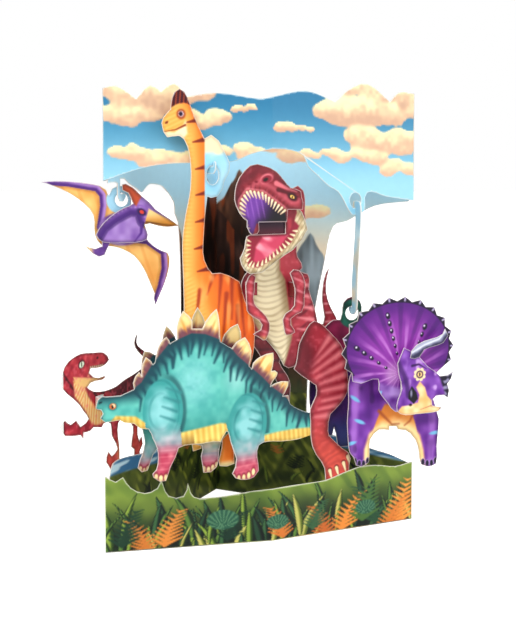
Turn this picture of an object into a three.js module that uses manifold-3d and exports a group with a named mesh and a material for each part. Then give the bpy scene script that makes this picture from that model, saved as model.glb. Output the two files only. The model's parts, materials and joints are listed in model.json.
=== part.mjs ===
// Swing card: a stood-up card frame of folded sheets with die-cut dinosaurs. Some stand glued to the frame,
// and three hang from hooks cut in the frame, so that they swing. Millimetres, +Z up, the front faces -Y.
import * as THREE from 'three';
import { mergeVertices } from 'three/addons/utils/BufferGeometryUtils.js';
import Module from 'manifold-3d';

const wasm = await Module();
wasm.setup();

// Card stock: one sheet, the glue line between two glued sheets, and the running gap in a hook
const CARD = 0.5;
const GLUE = 0.3;
const LAYER = CARD + GLUE;
const RUNNING_GAP = 0.3;

// Plan of the frame: the side folds at X = -+HALF_WIDTH on Y = 0, the front and rear folds on X = 0
const HALF_WIDTH = 79;
const FRONT_DEPTH = 9;
const REAR_DEPTH = 86;
const FLAP_WIDTH = 12;
const SIDE_CLEARANCE = 1.6;

// Heights of the frame's bands above the table
const SKY_TOP = 216;
const SKY_FOOT = 173.5;
const SKY_REAR_TOP = 213;
const GROUND_TOP = 30;
const FLAP_INSET = 3;

// The eye in the front sky band: its distance from the front fold, its sill and its size
const EYE_ALONG = 45.8;
const EYE_SILL = 160.3;
const EYE_HALF_WIDTH = 3.25;
const EYE_HEIGHT = 7.7;
const EYE_BAR = 3.3;

// The forward hook on the front sky band: its root from the front fold, its reach and its seat height
const FORWARD_HOOK_ALONG = 33.6;
const FORWARD_HOOK_REACH = 6.1;
const FORWARD_HOOK_SEAT = 180.4;

// The hook in the rear sheet's left sky band: its distance from the sheet's side edge and its seat height
const REAR_HOOK_INSET = 12.4;
const REAR_HOOK_SEAT = 167.7;

// Depths of the hunter's layers behind the front right panel (minus is forward), and the plated dinosaur's
// rear panel: its length, its turn from the X axis in radians, and the space between its two sheets
const HUNTER_ARM_PLANE = -6;
const HUNTER_MOUTH_PLANE = -9.7;
const HUNTER_SKULL_PLANE = -13.3;
const HUNTER_TAIL_PLANE = 17.1;
const PLATED_PANEL = 54.9;
const PLATED_TURN = 0.3546;
const PLATED_GAP = 8;

// Depths of the hanging figures' layers in front of the sheet that hangs
const FLYER_BODY_FORWARD = 3.5;
const HORNED_CHEST_FORWARD = 12;
const HORNED_FRILL_FORWARD = 22;
const HORNED_FACE_FORWARD = 27;
const HORNED_BODY_PLANE = 0;
const LINK_DROP = 49.3;

// Plan points and directions that follow from these
const FRONT_PANEL = Math.hypot(HALF_WIDTH, FRONT_DEPTH);
const REAR_PANEL = Math.hypot(HALF_WIDTH, REAR_DEPTH);
const LEFT_FOLD = [-HALF_WIDTH, 0];
const RIGHT_FOLD = [HALF_WIDTH, 0];
const FRONT_FOLD = [0, -FRONT_DEPTH];
const REAR_RUN = [HALF_WIDTH / REAR_PANEL, REAR_DEPTH / REAR_PANEL];
const FRONT_RUN = [HALF_WIDTH / FRONT_PANEL, FRONT_DEPTH / FRONT_PANEL];
const SHEET_FOLD = [0, REAR_DEPTH - LAYER / REAR_RUN[0]];
const SHEET_LENGTH = REAR_PANEL - LAYER * REAR_RUN[1] / REAR_RUN[0] - SIDE_CLEARANCE;

const CARD_COLOURS = {
  sky: 0x9fc3dc, grass: 0x7fa04a, rock: 0x8f8a78, red: 0xa4402c, plum: 0x7d3b3a, olive: 0x8b8a3c,
  green: 0x5c8a4c, amber: 0xc98b3a, violet: 0x6d6a9c, sand: 0xc9ae7e, plain: 0xe9e4da,
};

// A point moved along a plan direction, and by a second length across it (to its left)
function along([x, y], [dx, dy], length, across = 0) {
  return [x + dx * length - dy * across, y + dy * length + dx * across];
}

// A closed outline through [x, z] points: a round curve at each point, or a corner where a third value is 1
function smooth(points) {
  const count = points.length;
  const outline = [];
  const tangent = (i, from, to) => {
    const chord = Math.hypot(to[0] - from[0], to[1] - from[1]);
    if (points[i][2]) return [to[0] - from[0], to[1] - from[1]];
    const before = points[(i + count - 1) % count];
    const after = points[(i + 1) % count];
    const span = Math.hypot(after[0] - before[0], after[1] - before[1]) || 1;
    return [(after[0] - before[0]) / span * chord, (after[1] - before[1]) / span * chord];
  };
  for (let i = 0; i < count; i += 1) {
    const next = (i + 1) % count;
    const [from, to] = [points[i], points[next]];
    const start = tangent(i, from, to);
    const end = tangent(next, from, to);
    const chord = Math.hypot(to[0] - from[0], to[1] - from[1]);
    const straight = from[2] && to[2];
    const steps = straight ? 1 : Math.min(4, Math.max(1, Math.round(chord / 3)));
    for (let k = 0; k < steps; k += 1) {
      const t = k / steps;
      const [a, b] = [2 * t ** 3 - 3 * t ** 2 + 1, t ** 3 - 2 * t ** 2 + t];
      const [c, d] = [3 * t ** 2 - 2 * t ** 3, t ** 3 - t ** 2];
      outline.push([0, 1].map((n) => a * from[n] + b * start[n] + c * to[n] + d * end[n]));
    }
  }
  return outline;
}

// An ellipse as a ring of corner points
function ellipse(x, z, radiusX, radiusZ, sides = 20) {
  return Array.from({ length: sides }, (_, i) => {
    const angle = (2 * Math.PI * i) / sides;
    return [x + radiusX * Math.cos(angle), z + radiusZ * Math.sin(angle), 1];
  });
}

// A rectangle of corner points
function rectangle(left, right, low, high) {
  return [[left, low, 1], [right, low, 1], [right, high, 1], [left, high, 1]];
}

// A flat sheet cut to an outline, upright in the XZ plane, its middle on Y = 0
function plate(points, holes = []) {
  const vectors = (ring) => smooth(ring).map(([x, z]) => new THREE.Vector2(x, z));
  const shape = new THREE.Shape(vectors(points));
  shape.holes = holes.map((ring) => new THREE.Path(vectors(ring)));
  const geometry = new THREE.ExtrudeGeometry(shape, { depth: CARD, bevelEnabled: false });
  return geometry.rotateX(Math.PI / 2).translate(0, CARD / 2, 0);
}

// The solid of a closed geometry, for a join
function solid(geometry) {
  const bare = geometry.clone();
  bare.deleteAttribute('normal');
  bare.deleteAttribute('uv');
  const merged = mergeVertices(bare);
  return new wasm.Manifold(new wasm.Mesh({
    numProp: 3,
    vertProperties: new Float32Array(merged.attributes.position.array),
    triVerts: new Uint32Array(merged.index.array),
  }));
}

// The geometry of several closed geometries joined into one solid
function joined(geometries) {
  const mesh = geometries.map(solid).reduce((whole, piece) => whole.add(piece)).getMesh();
  const geometry = new THREE.BufferGeometry();
  geometry.setAttribute('position', new THREE.BufferAttribute(new Float32Array(mesh.vertProperties), 3));
  geometry.setIndex(new THREE.BufferAttribute(new Uint32Array(mesh.triVerts), 1));
  geometry.computeVertexNormals();
  return geometry;
}

// The flat panels of a folded sheet. The plan path is the sheet's middle plane, with a fold at each inner
// point. Each panel is a flat plate whose x runs from its path point, and its ends are mitred at the folds.
function foldedPanels(path, plates) {
  const legs = plates.map((_, i) => {
    const [from, to] = [path[i], path[i + 1]];
    const length = Math.hypot(to[0] - from[0], to[1] - from[1]);
    return { from, length, run: [(to[0] - from[0]) / length, (to[1] - from[1]) / length] };
  });
  const normal = ({ run }) => [-run[1], run[0]];
  const mitre = (one, two) => {
    const [a, b] = [normal(one), normal(two)];
    const share = 1 + a[0] * b[0] + a[1] * b[1];
    return [(a[0] + b[0]) / share, (a[1] + b[1]) / share];
  };
  return plates.map((flat, i) => {
    const geometry = flat.clone();
    const leg = legs[i];
    const position = geometry.attributes.position;
    for (let n = 0; n < position.count; n += 1) {
      const [u, w, z] = [position.getX(n), position.getY(n), position.getZ(n)];
      const atStart = i > 0 && Math.abs(u) < 1e-3;
      const atEnd = i < legs.length - 1 && Math.abs(u - leg.length) < 1e-3;
      const across = atStart ? mitre(legs[i - 1], leg) : atEnd ? mitre(leg, legs[i + 1]) : normal(leg);
      const [x, y] = atStart ? leg.from : atEnd ? path[i + 1] : along(leg.from, leg.run, u);
      position.setXYZ(n, x + across[0] * w, y + across[1] * w, z);
    }
    return geometry;
  });
}

// A strip of card between two heights, folded along a plan path: the web and glue flaps of a spacer
function ribbon(path, low, high) {
  const lengths = path.slice(1).map(([x, y], i) => Math.hypot(x - path[i][0], y - path[i][1]));
  return joined(foldedPanels(path, lengths.map((length) => plate(rectangle(0, length, low, high)))));
}

const card = new THREE.Group();

// A named sheet in a group, at a place in it
function add(group, name, geometry, colour, [x, y, z] = [0, 0, 0]) {
  const material = new THREE.MeshStandardMaterial({ color: colour, roughness: 0.5, metalness: 0 });
  const mesh = new THREE.Mesh(geometry, material);
  mesh.name = name;
  mesh.position.set(x, y, z);
  group.add(mesh);
}

// The scalloped edges were drawn on a front panel this wide, and stretch with the panel
const DRAWN_PANEL = 79.5;
const stretch = FRONT_PANEL / DRAWN_PANEL;
const fromLeftFold = ([u, z, corner]) => [(u + DRAWN_PANEL) * stretch, z, corner];
const fromFrontFold = ([u, z, corner]) => [u * stretch, z, corner];
const FRAME_PATH = [
  along(LEFT_FOLD, REAR_RUN, FLAP_WIDTH), LEFT_FOLD, FRONT_FOLD, RIGHT_FOLD,
  along(RIGHT_FOLD, [-REAR_RUN[0], REAR_RUN[1]], FLAP_WIDTH),
];

// Front sky band: one sheet with a scalloped cloud edge, folded in the middle, its flaps glued round the sides
function frontSky() {
  const [top, foot] = [SKY_TOP, SKY_FOOT];
  const crown = top - 2.4;
  const archTop = foot + 15.5;
  const left = [
    [-79.5, foot, 1], [-79.5, top, 1], [-74, top + 1.5], [-64.5, top - 4.5, 1], [-58, top + 2],
    [-53, top - 1, 1], [-47, top + 3], [-41, top - 3, 1], [-27, top - 1], [-6, top - 3.5],
  ].map(fromLeftFold);
  const leftArch = [
    [-10, foot + 13], [-20, foot + 9], [-40, foot + 8.5], [-50, foot + 8], [-60, foot + 6.5],
    [-70, foot + 3.5],
  ].map(fromLeftFold);
  const rightTop = [
    [18, top + 1], [34, top - 3.5, 1], [42.5, top + 3], [52, top + 6], [65.5, top - 2.5, 1],
    [71, top + 2.5],
    [79.5, top + 2, 1],
  ].map(fromFrontFold);
  const sill = EYE_SILL - EYE_BAR;
  const lobe = [
    [EYE_ALONG + 18, foot - 7.5], [EYE_ALONG + 6.6, foot - 5.5], [EYE_ALONG + 5.2, sill + 2],
    [EYE_ALONG + 2, sill], [EYE_ALONG - 2, sill], [EYE_ALONG - 3.9, sill + 2.5],
    [EYE_ALONG - 9.8, foot - 5], [EYE_ALONG - 14.8, foot - 2.5], [EYE_ALONG - 20.8, foot + 2.5],
    [EYE_ALONG - 26.8, foot + 7.5], [EYE_ALONG - 29, foot + 12.5], [EYE_ALONG - 36, archTop - 0.5],
  ];
  const right = [[0, archTop, 1], [0, crown, 1], ...rightTop, [FRONT_PANEL, foot - 9.5, 1], ...lobe];
  const eye = ellipse(EYE_ALONG, EYE_SILL + EYE_HEIGHT / 2, EYE_HALF_WIDTH, EYE_HEIGHT / 2);
  const panels = foldedPanels(FRAME_PATH, [
    plate(rectangle(0, FLAP_WIDTH, foot + FLAP_INSET / 2, top - FLAP_INSET)),
    plate([...left, [FRONT_PANEL, crown, 1], [FRONT_PANEL, archTop, 1], ...leftArch]),
    plate(right, [eye]),
    plate(rectangle(0, FLAP_WIDTH, foot + FLAP_INSET / 2, top - FLAP_INSET)),
  ]);
  add(card, 'front_sky', joined([...panels, forwardHook()]), CARD_COLOURS.sky);
}

// The forward hook's plan: its root on the band, its direction, and the seat that a ring hangs on
const HOOK_ROOT = along(FRONT_FOLD, [-FRONT_RUN[0], FRONT_RUN[1]], FORWARD_HOOK_ALONG);
const HOOK_RUN = [0.5, -Math.sqrt(0.75)];
const HOOK_SEAT_PLAN = along(HOOK_ROOT, HOOK_RUN, FORWARD_HOOK_REACH);

// A tongue of the band turned forward, with a J-shaped end open upwards
function forwardHook() {
  const [seat, reach] = [FORWARD_HOOK_SEAT, FORWARD_HOOK_REACH];
  const throat = 1.15;
  const geometry = plate([
    [0, seat + 7, 1], [reach - throat - 1.6, seat + 4.6], [reach - throat, seat + 1.5],
    [reach - throat, seat, 1],
    [reach + throat, seat, 1], [reach + throat, seat + 1.6], [reach + 1.9, seat + 2.5],
    [reach + 2.6, seat + 1.5],
    [reach + 2.5, seat - 1.8], [reach + 1.2, seat - 3.5], [reach - 3.2, seat - 3.4], [0.9, seat - 1.2],
    [0, seat + 2, 1],
  ]);
  geometry.rotateZ(Math.atan2(HOOK_RUN[1], HOOK_RUN[0]));
  return geometry.translate(HOOK_ROOT[0], HOOK_ROOT[1], 0);
}

// Front ground band: the same fold and flaps, with a grassy upper edge
function frontGround() {
  const top = GROUND_TOP;
  const left = [
    [-79.5, 0, 1], [-79.5, top + 6, 1], [-75, top + 3.2], [-71.5, top + 5.2, 1], [-68, top],
    [-61.5, top - 3],
    [-55.5, top - 1], [-53.5, top + 2.8, 1], [-50, top - 5], [-43, top - 5.4], [-41, top + 0.7, 1],
    [-38, top - 6.2],
    [-30, top - 7], [-20, top - 6.4], [-10, top - 5.2],
  ].map(fromLeftFold);
  const right = [
    [10, top - 4.3], [20, top - 4.2], [30, top - 3.8], [40, top - 1.2], [50, top + 0.7], [60, top + 0.2],
    [70, top - 1.5], [79.5, top - 0.2, 1], [79.5, 0, 1],
  ].map(fromFrontFold);
  const flap = rectangle(0, FLAP_WIDTH, FLAP_INSET, top - FLAP_INSET - 1);
  const panels = foldedPanels(FRAME_PATH, [
    plate(flap),
    plate([...left, [FRONT_PANEL, top - 4.7, 1], [FRONT_PANEL, 0, 1]]),
    plate([[0, 0, 1], [0, top - 4.7, 1], ...right]),
    plate(flap),
  ]);
  add(card, 'front_ground', joined(panels), CARD_COLOURS.grass);
}

// Rear sheet: one sheet folded behind, its ground, rock and sky left standing round a window on each side
function rearSheet() {
  const length = SHEET_LENGTH;
  const top = SKY_REAR_TOP;
  const sky = top - 40;
  const ground = GROUND_TOP;
  const fromFold = ([u, z, corner]) => [length + u, z, corner];
  const [hook, seat] = [REAR_HOOK_INSET, REAR_HOOK_SEAT];
  const throat = 1.35;
  const hookEdge = [
    [hook + 5.9, sky - 0.2], [hook + 2.9, sky + 1.6, 1], [hook - throat, sky + 1.6, 1],
    [hook - throat, seat + 0.6],
    [hook - throat + 0.5, seat, 1], [hook + throat, seat, 1], [hook + throat, seat + 2.1],
    [hook + 2.5, seat + 2.9],
    [hook + 3.6, seat + 1.8], [hook + 3.7, seat - 1.7], [hook + 1.4, seat - 3.9], [hook - 1.6, seat - 3.8],
    [hook - 3.6, seat - 1.7], [hook - 3.6, sky - 0.5, 1],
  ];
  const left = [
    [0, 0, 1], [0, ground + 5.5, 1], [3.3, ground + 11], [14.3, ground + 11.5], [27.3, ground + 10],
    ...[
      [-70, ground + 9], [-55, ground + 10], [-50, ground + 14], [-44, ground + 16], [-43, ground + 30],
      [-42.5, 95], [-43, 130], [-45.5, sky - 20.5], [-49, sky - 16], [-50, sky - 10], [-62, sky - 2],
      [-68, sky - 1], [-76, sky - 1], [-83, sky - 5, 1], [-88, sky - 3],
    ].map(fromFold),
    ...hookEdge,
    [6, sky], [0, sky - 0.5, 1], [0, top, 1], [length, top, 1], [length, 0, 1],
  ];
  const right = [
    [0, 0, 1], [0, top, 1], [length, top, 1], [length, sky - 9.5, 1], [length - 19, sky - 12],
    [80, sky - 20],
    [72, sky - 23], [67, 131], [60.5, 100], [58, 80], [57, ground + 30], [57, ground + 16],
    [60, ground + 11],
    [70, ground + 9.5], [85, ground + 6], [length - 19, ground + 4], [length - 10, ground + 2.5],
    [length, ground - 0.5, 1], [length, 0, 1],
  ];
  const path = [
    along(SHEET_FOLD, REAR_RUN, -length), SHEET_FOLD, along(SHEET_FOLD, [REAR_RUN[0], -REAR_RUN[1]], length),
  ];
  add(card, 'rear_sheet', joined(foldedPanels(path, [plate(left), plate(right)])), CARD_COLOURS.rock);
}

// Small runner: one sheet glued outside the rear sheet's left edge. Its x runs from the side fold.
function runner() {
  const outline = [
    [4.6, 90], [3.1, 92.2], [-0.4, 94.2], [-9, 95.3], [-18.9, 96.3], [-23, 95.8], [-29, 94.2],
    [-32.1, 92.2],
    [-34, 89.3], [-34.8, 85.7], [-33.6, 83], [-30.6, 80.4], [-25.2, 76.9], [-20.5, 73.4], [-17.2, 69.9],
    [-13.2, 65.7], [-15.5, 64.3], [-19.7, 63.4], [-23.3, 67], [-27.4, 65.9], [-32.1, 68.8, 1],
    [-35.9, 66.5, 1],
    [-32.1, 61.9, 1], [-25.9, 60.5], [-19.7, 59.6, 1], [-17.6, 57.5, 1], [-17.2, 60.2, 1], [-11.9, 59.9],
    [-9, 61], [-2.2, 59.5], [-0.4, 61], [5.6, 59.8], [6.5, 54], [10.3, 49.2], [11.6, 46.2], [6.5, 44, 1],
    [3.5, 46.9, 1], [1.8, 44.8], [1.5, 42.3], [5.2, 38.1], [6, 30], [6.5, 16, 1], [13.5, 16, 1], [13, 30],
    [13.4, 45.3], [12.5, 58.7], [20, 58], [26.1, 54.1], [24.3, 44.5], [27.1, 42.6], [27.1, 38.7],
    [26.5, 25, 1],
    [33, 25, 1], [32.4, 40.5, 1], [35.3, 43.5, 1], [34.3, 47.4, 1], [31.9, 45.7], [30.4, 52.8], [36, 62],
    [42, 72],
    [49, 85.4, 1], [43, 87.6], [38, 89.2], [34, 91.2], [31, 93], [29.8, 94.8], [29.9, 96.6], [30.8, 99, 1],
    [28.4, 97], [27.6, 94.8], [28.6, 92.6], [31, 90.4], [35, 87.6], [40, 84.8], [43, 82.8, 1], [34, 81],
    [26.2, 79.4], [21.4, 78.8], [16.7, 77.9], [11.2, 76.5], [3.1, 76], [-2.2, 76.3], [-9, 77.5],
    [-12.3, 79],
    [-13.9, 80.2, 1], [-11.4, 81.8], [-7.3, 82], [-1.3, 81.6], [1.3, 82.4], [0.5, 83.1], [-4.7, 83],
    [-9, 84.1], [-12.3, 86.5], [-11.1, 88.4, 1], [-6.9, 87.9], [-1.3, 87.8],
  ];
  const group = new THREE.Group();
  group.position.set(...along(LEFT_FOLD, REAR_RUN, 0, LAYER), 0);
  group.rotation.z = Math.atan2(REAR_RUN[1], REAR_RUN[0]);
  add(group, 'runner', plate(outline), CARD_COLOURS.red);
  card.add(group);
}

// The hunter stands square to the front right panel: u along the panel from the front fold, v behind it
const hunter = new THREE.Group();
hunter.position.set(...FRONT_FOLD, 0);
hunter.rotation.z = Math.atan2(FRONT_RUN[1], FRONT_RUN[0]);
card.add(hunter);
const hunterPoint = (u, v) => along(FRONT_FOLD, FRONT_RUN, u, v);

function hunterBody() {
  const nearLeg = [
    [23.4, 105.5], [26.8, 104], [30.4, 101], [34, 97.5], [37.7, 93.5], [39.8, 89.5], [40.7, 86.2],
    [42, 78.5],
    [42.6, 73], [42, 69], [39.6, 65], [36, 61.5], [32.5, 58.7], [31.3, 54.7], [31.1, 50.3], [31.7, 48],
    [34.7, 45], [39, 41], [42.6, 38.5], [44, 35.2], [43.2, 31.9], [43, 20, 1], [30, 20, 1], [29.8, 25.5],
    [29.2, 32], [27.4, 35.4], [24.4, 39.3], [22.5, 43.2], [21.4, 49.5], [21.3, 56.2], [21, 61.8],
    [22.8, 65.6],
    [24.3, 68.4], [24.3, 73.5], [20.7, 76], [15.4, 79.6], [12.1, 82.5], [13.3, 85.2], [14.2, 90.3],
    [15.1, 94.8], [17.8, 99.8], [20.8, 104],
  ];
  const torso = [
    [17.5, 169], [18.5, 163], [18.3, 158], [19, 151], [16, 146], [14, 142], [14.3, 137], [16.5, 134],
    [17, 131.5, 1], [15.5, 130], [20, 128.5], [21, 126], [20.7, 121], [22.4, 115.7], [24, 111],
    [25.3, 105.5],
    [25.5, 103], [24, 97], [20, 90], [9.5, 83], [3.5, 90.5], [-2, 97], [-8.5, 102], [-11.5, 107],
    [-14.6, 113], [-15.4, 118], [-15.4, 126], [-13, 130], [-9, 133.5], [-6, 140], [-2, 150], [4, 158],
    [8, 165], [11, 170], [14.5, 171.5],
  ];
  const farLeg = [
    [-7.5, 101], [0, 100], [6, 92], [5, 86], [9.5, 79], [11, 74], [8, 58], [3, 62], [4, 76], [0, 82],
    [-4, 88], [-7, 92.5], [-9.5, 96],
  ];
  add(hunter, 'hunter_near_leg', plate(nearLeg), CARD_COLOURS.red, [0, LAYER, 0]);
  add(hunter, 'hunter_torso', plate(torso), CARD_COLOURS.red, [0, 2 * LAYER, 0]);
  add(hunter, 'hunter_far_leg', plate(farLeg), CARD_COLOURS.plum, [0, 3 * LAYER, 0]);
}

function hunterArms() {
  const leftArm = [
    [-14.9, 129.3], [-13.5, 130.2], [-11.6, 128.9], [-12.1, 126.2], [-12.3, 122.1], [-12.8, 118.9],
    [-12.3, 116.2], [-9, 112.8], [-6.1, 109.9], [-4.4, 106.7], [-4.7, 102.1], [-6.1, 99], [-7.5, 98.6, 1],
    [-10.4, 100.5], [-12.8, 101.7, 1], [-11.9, 102.4], [-9, 103.7], [-8.3, 106], [-10, 108.4],
    [-12.8, 109.8],
    [-15.2, 111.7], [-16.1, 113.1], [-16.4, 117.2], [-16.6, 121.8], [-16.8, 125], [-15.9, 127.7],
  ];
  const rightArm = [
    [6.4, 129.9], [8.3, 131.6], [11.2, 131.2], [13.1, 129], [14.6, 125.3], [14.1, 117.7], [14.1, 114.1],
    [12.7, 111], [9.8, 110], [6.9, 108.1], [6.9, 105.4], [8.8, 102.6], [9.1, 101.4, 1], [6.9, 100.4],
    [4.4, 100.3, 1], [3.5, 102], [3, 104.7], [2.5, 107.9], [3.9, 110.6], [6.9, 112.3], [8.8, 114.4],
    [9, 118.2], [9, 122.7], [7.8, 126.4],
  ];
  const [arm, back, front] = [HUNTER_ARM_PLANE, HUNTER_ARM_PLANE + LAYER, LAYER];
  add(hunter, 'hunter_left_arm', plate(leftArm), CARD_COLOURS.red, [0, arm, 0]);
  add(hunter, 'hunter_right_arm', plate(rightArm), CARD_COLOURS.red, [0, arm, 0]);
  const leftPath = [[-13.7, front], [-10.7, front], [-10.7, back], [-14.7, back]];
  const rightPath = [[12.6, front], [9.4, front], [9.4, back], [13.2, back]];
  add(hunter, 'hunter_left_arm_spacer', ribbon(leftPath, 120, 126), CARD_COLOURS.plum);
  add(hunter, 'hunter_right_arm_spacer', ribbon(rightPath, 118, 125), CARD_COLOURS.plum);
}

function hunterHead() {
  const skull = [
    [-14.2, 181.3], [-17.8, 180.6], [-20.5, 178.4], [-23.2, 175.2], [-24.8, 171.8], [-25.5, 168.4],
    [-25.7, 165],
    [-24.8, 162], [-23.2, 158.9], [-21, 156.3], [-19.4, 155.4], [-19.4, 152.5], [-18.2, 150],
    [-16.9, 148.8, 1],
    [-14.2, 149.2], [-13.3, 150.7], [-13.5, 154.5, 1], [1, 154.5, 1], [1.5, 160.3, 1], [9.3, 160.2, 1],
    [9.6, 163.6], [8.7, 166.2], [8.4, 168.8], [5.7, 169.9], [2.9, 170.5], [1, 172.2], [-1.3, 174.8],
    [-4.5, 178],
    [-7.8, 179.7], [-11, 180.6],
  ];
  const jaw = [
    [8, 161.4, 1], [10.4, 159], [11.7, 156.2], [13.4, 150.5], [12.2, 148.8], [10.8, 146.2], [6.8, 142.4],
    [5.8, 141.3], [1.6, 139], [-2.5, 136.4], [-6.7, 133.5], [-10.8, 131], [-13.5, 130.7], [-16.7, 130.6],
    [-19.4, 132.5], [-21, 135], [-21.7, 138], [-20.5, 140.1], [-19.4, 142.7], [-18.9, 146.1],
    [-18.3, 147.9],
    [-16.7, 148.7, 1], [1.6, 149, 1], [1.4, 161.4, 1],
  ];
  const [mouth, head] = [HUNTER_MOUTH_PLANE, HUNTER_SKULL_PLANE];
  add(hunter, 'hunter_mouth_plate', plate(rectangle(-16, 5, 143, 166)), CARD_COLOURS.plum, [0, mouth, 0]);
  add(hunter, 'hunter_jaw', plate(jaw), CARD_COLOURS.red, [0, mouth - LAYER, 0]);
  add(hunter, 'hunter_skull', plate(skull), CARD_COLOURS.red, [0, head, 0]);
  const neckPath = [[14, LAYER], [7, LAYER], [3, mouth + LAYER], [-4, mouth + LAYER]];
  const headPath = [[-10, mouth - LAYER], [-4, mouth - LAYER], [-3.5, head + LAYER], [2, head + LAYER]];
  add(hunter, 'hunter_mouth_spacer', ribbon(neckPath, 146, 158), CARD_COLOURS.plum);
  add(hunter, 'hunter_skull_spacer', ribbon(headPath, 161, 165.5), CARD_COLOURS.plum);
}

function hunterTail() {
  const tail = [
    [40.8, 129.9, 1], [40, 127.6], [38.8, 122], [38.8, 117.7], [39.8, 113.6], [41.9, 108.9], [44.5, 104.7],
    [45.9, 101], [44, 94], [38, 89], [30, 87], [20, 87], [16, 91], [17, 97], [24, 99], [32, 99.5],
    [37.2, 101.5],
    [38, 104.8], [37.2, 109], [36.5, 113.8], [36.7, 118.5], [37.4, 123.3], [39, 127.7],
  ];
  const back = HUNTER_TAIL_PLANE;
  add(hunter, 'hunter_tail', plate(tail), CARD_COLOURS.red, [0, back, 0]);
  const path = [[12, 3 * LAYER], [16, 3 * LAYER], [19, back - LAYER], [25, back - LAYER]];
  add(hunter, 'hunter_tail_spacer', ribbon(path, 89.5, 97), CARD_COLOURS.plum);
}

// The brace runs from behind the hunter's neck to the inner face of the rear sheet
function neckBrace() {
  const rightRun = [REAR_RUN[0], -REAR_RUN[1]];
  const path = [
    hunterPoint(9, 3 * LAYER), hunterPoint(14, 3 * LAYER),
    along(SHEET_FOLD, rightRun, 23, -LAYER), along(SHEET_FOLD, rightRun, 30, -LAYER),
  ];
  add(card, 'neck_brace', ribbon(path, 138, 144), CARD_COLOURS.red);
}

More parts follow.
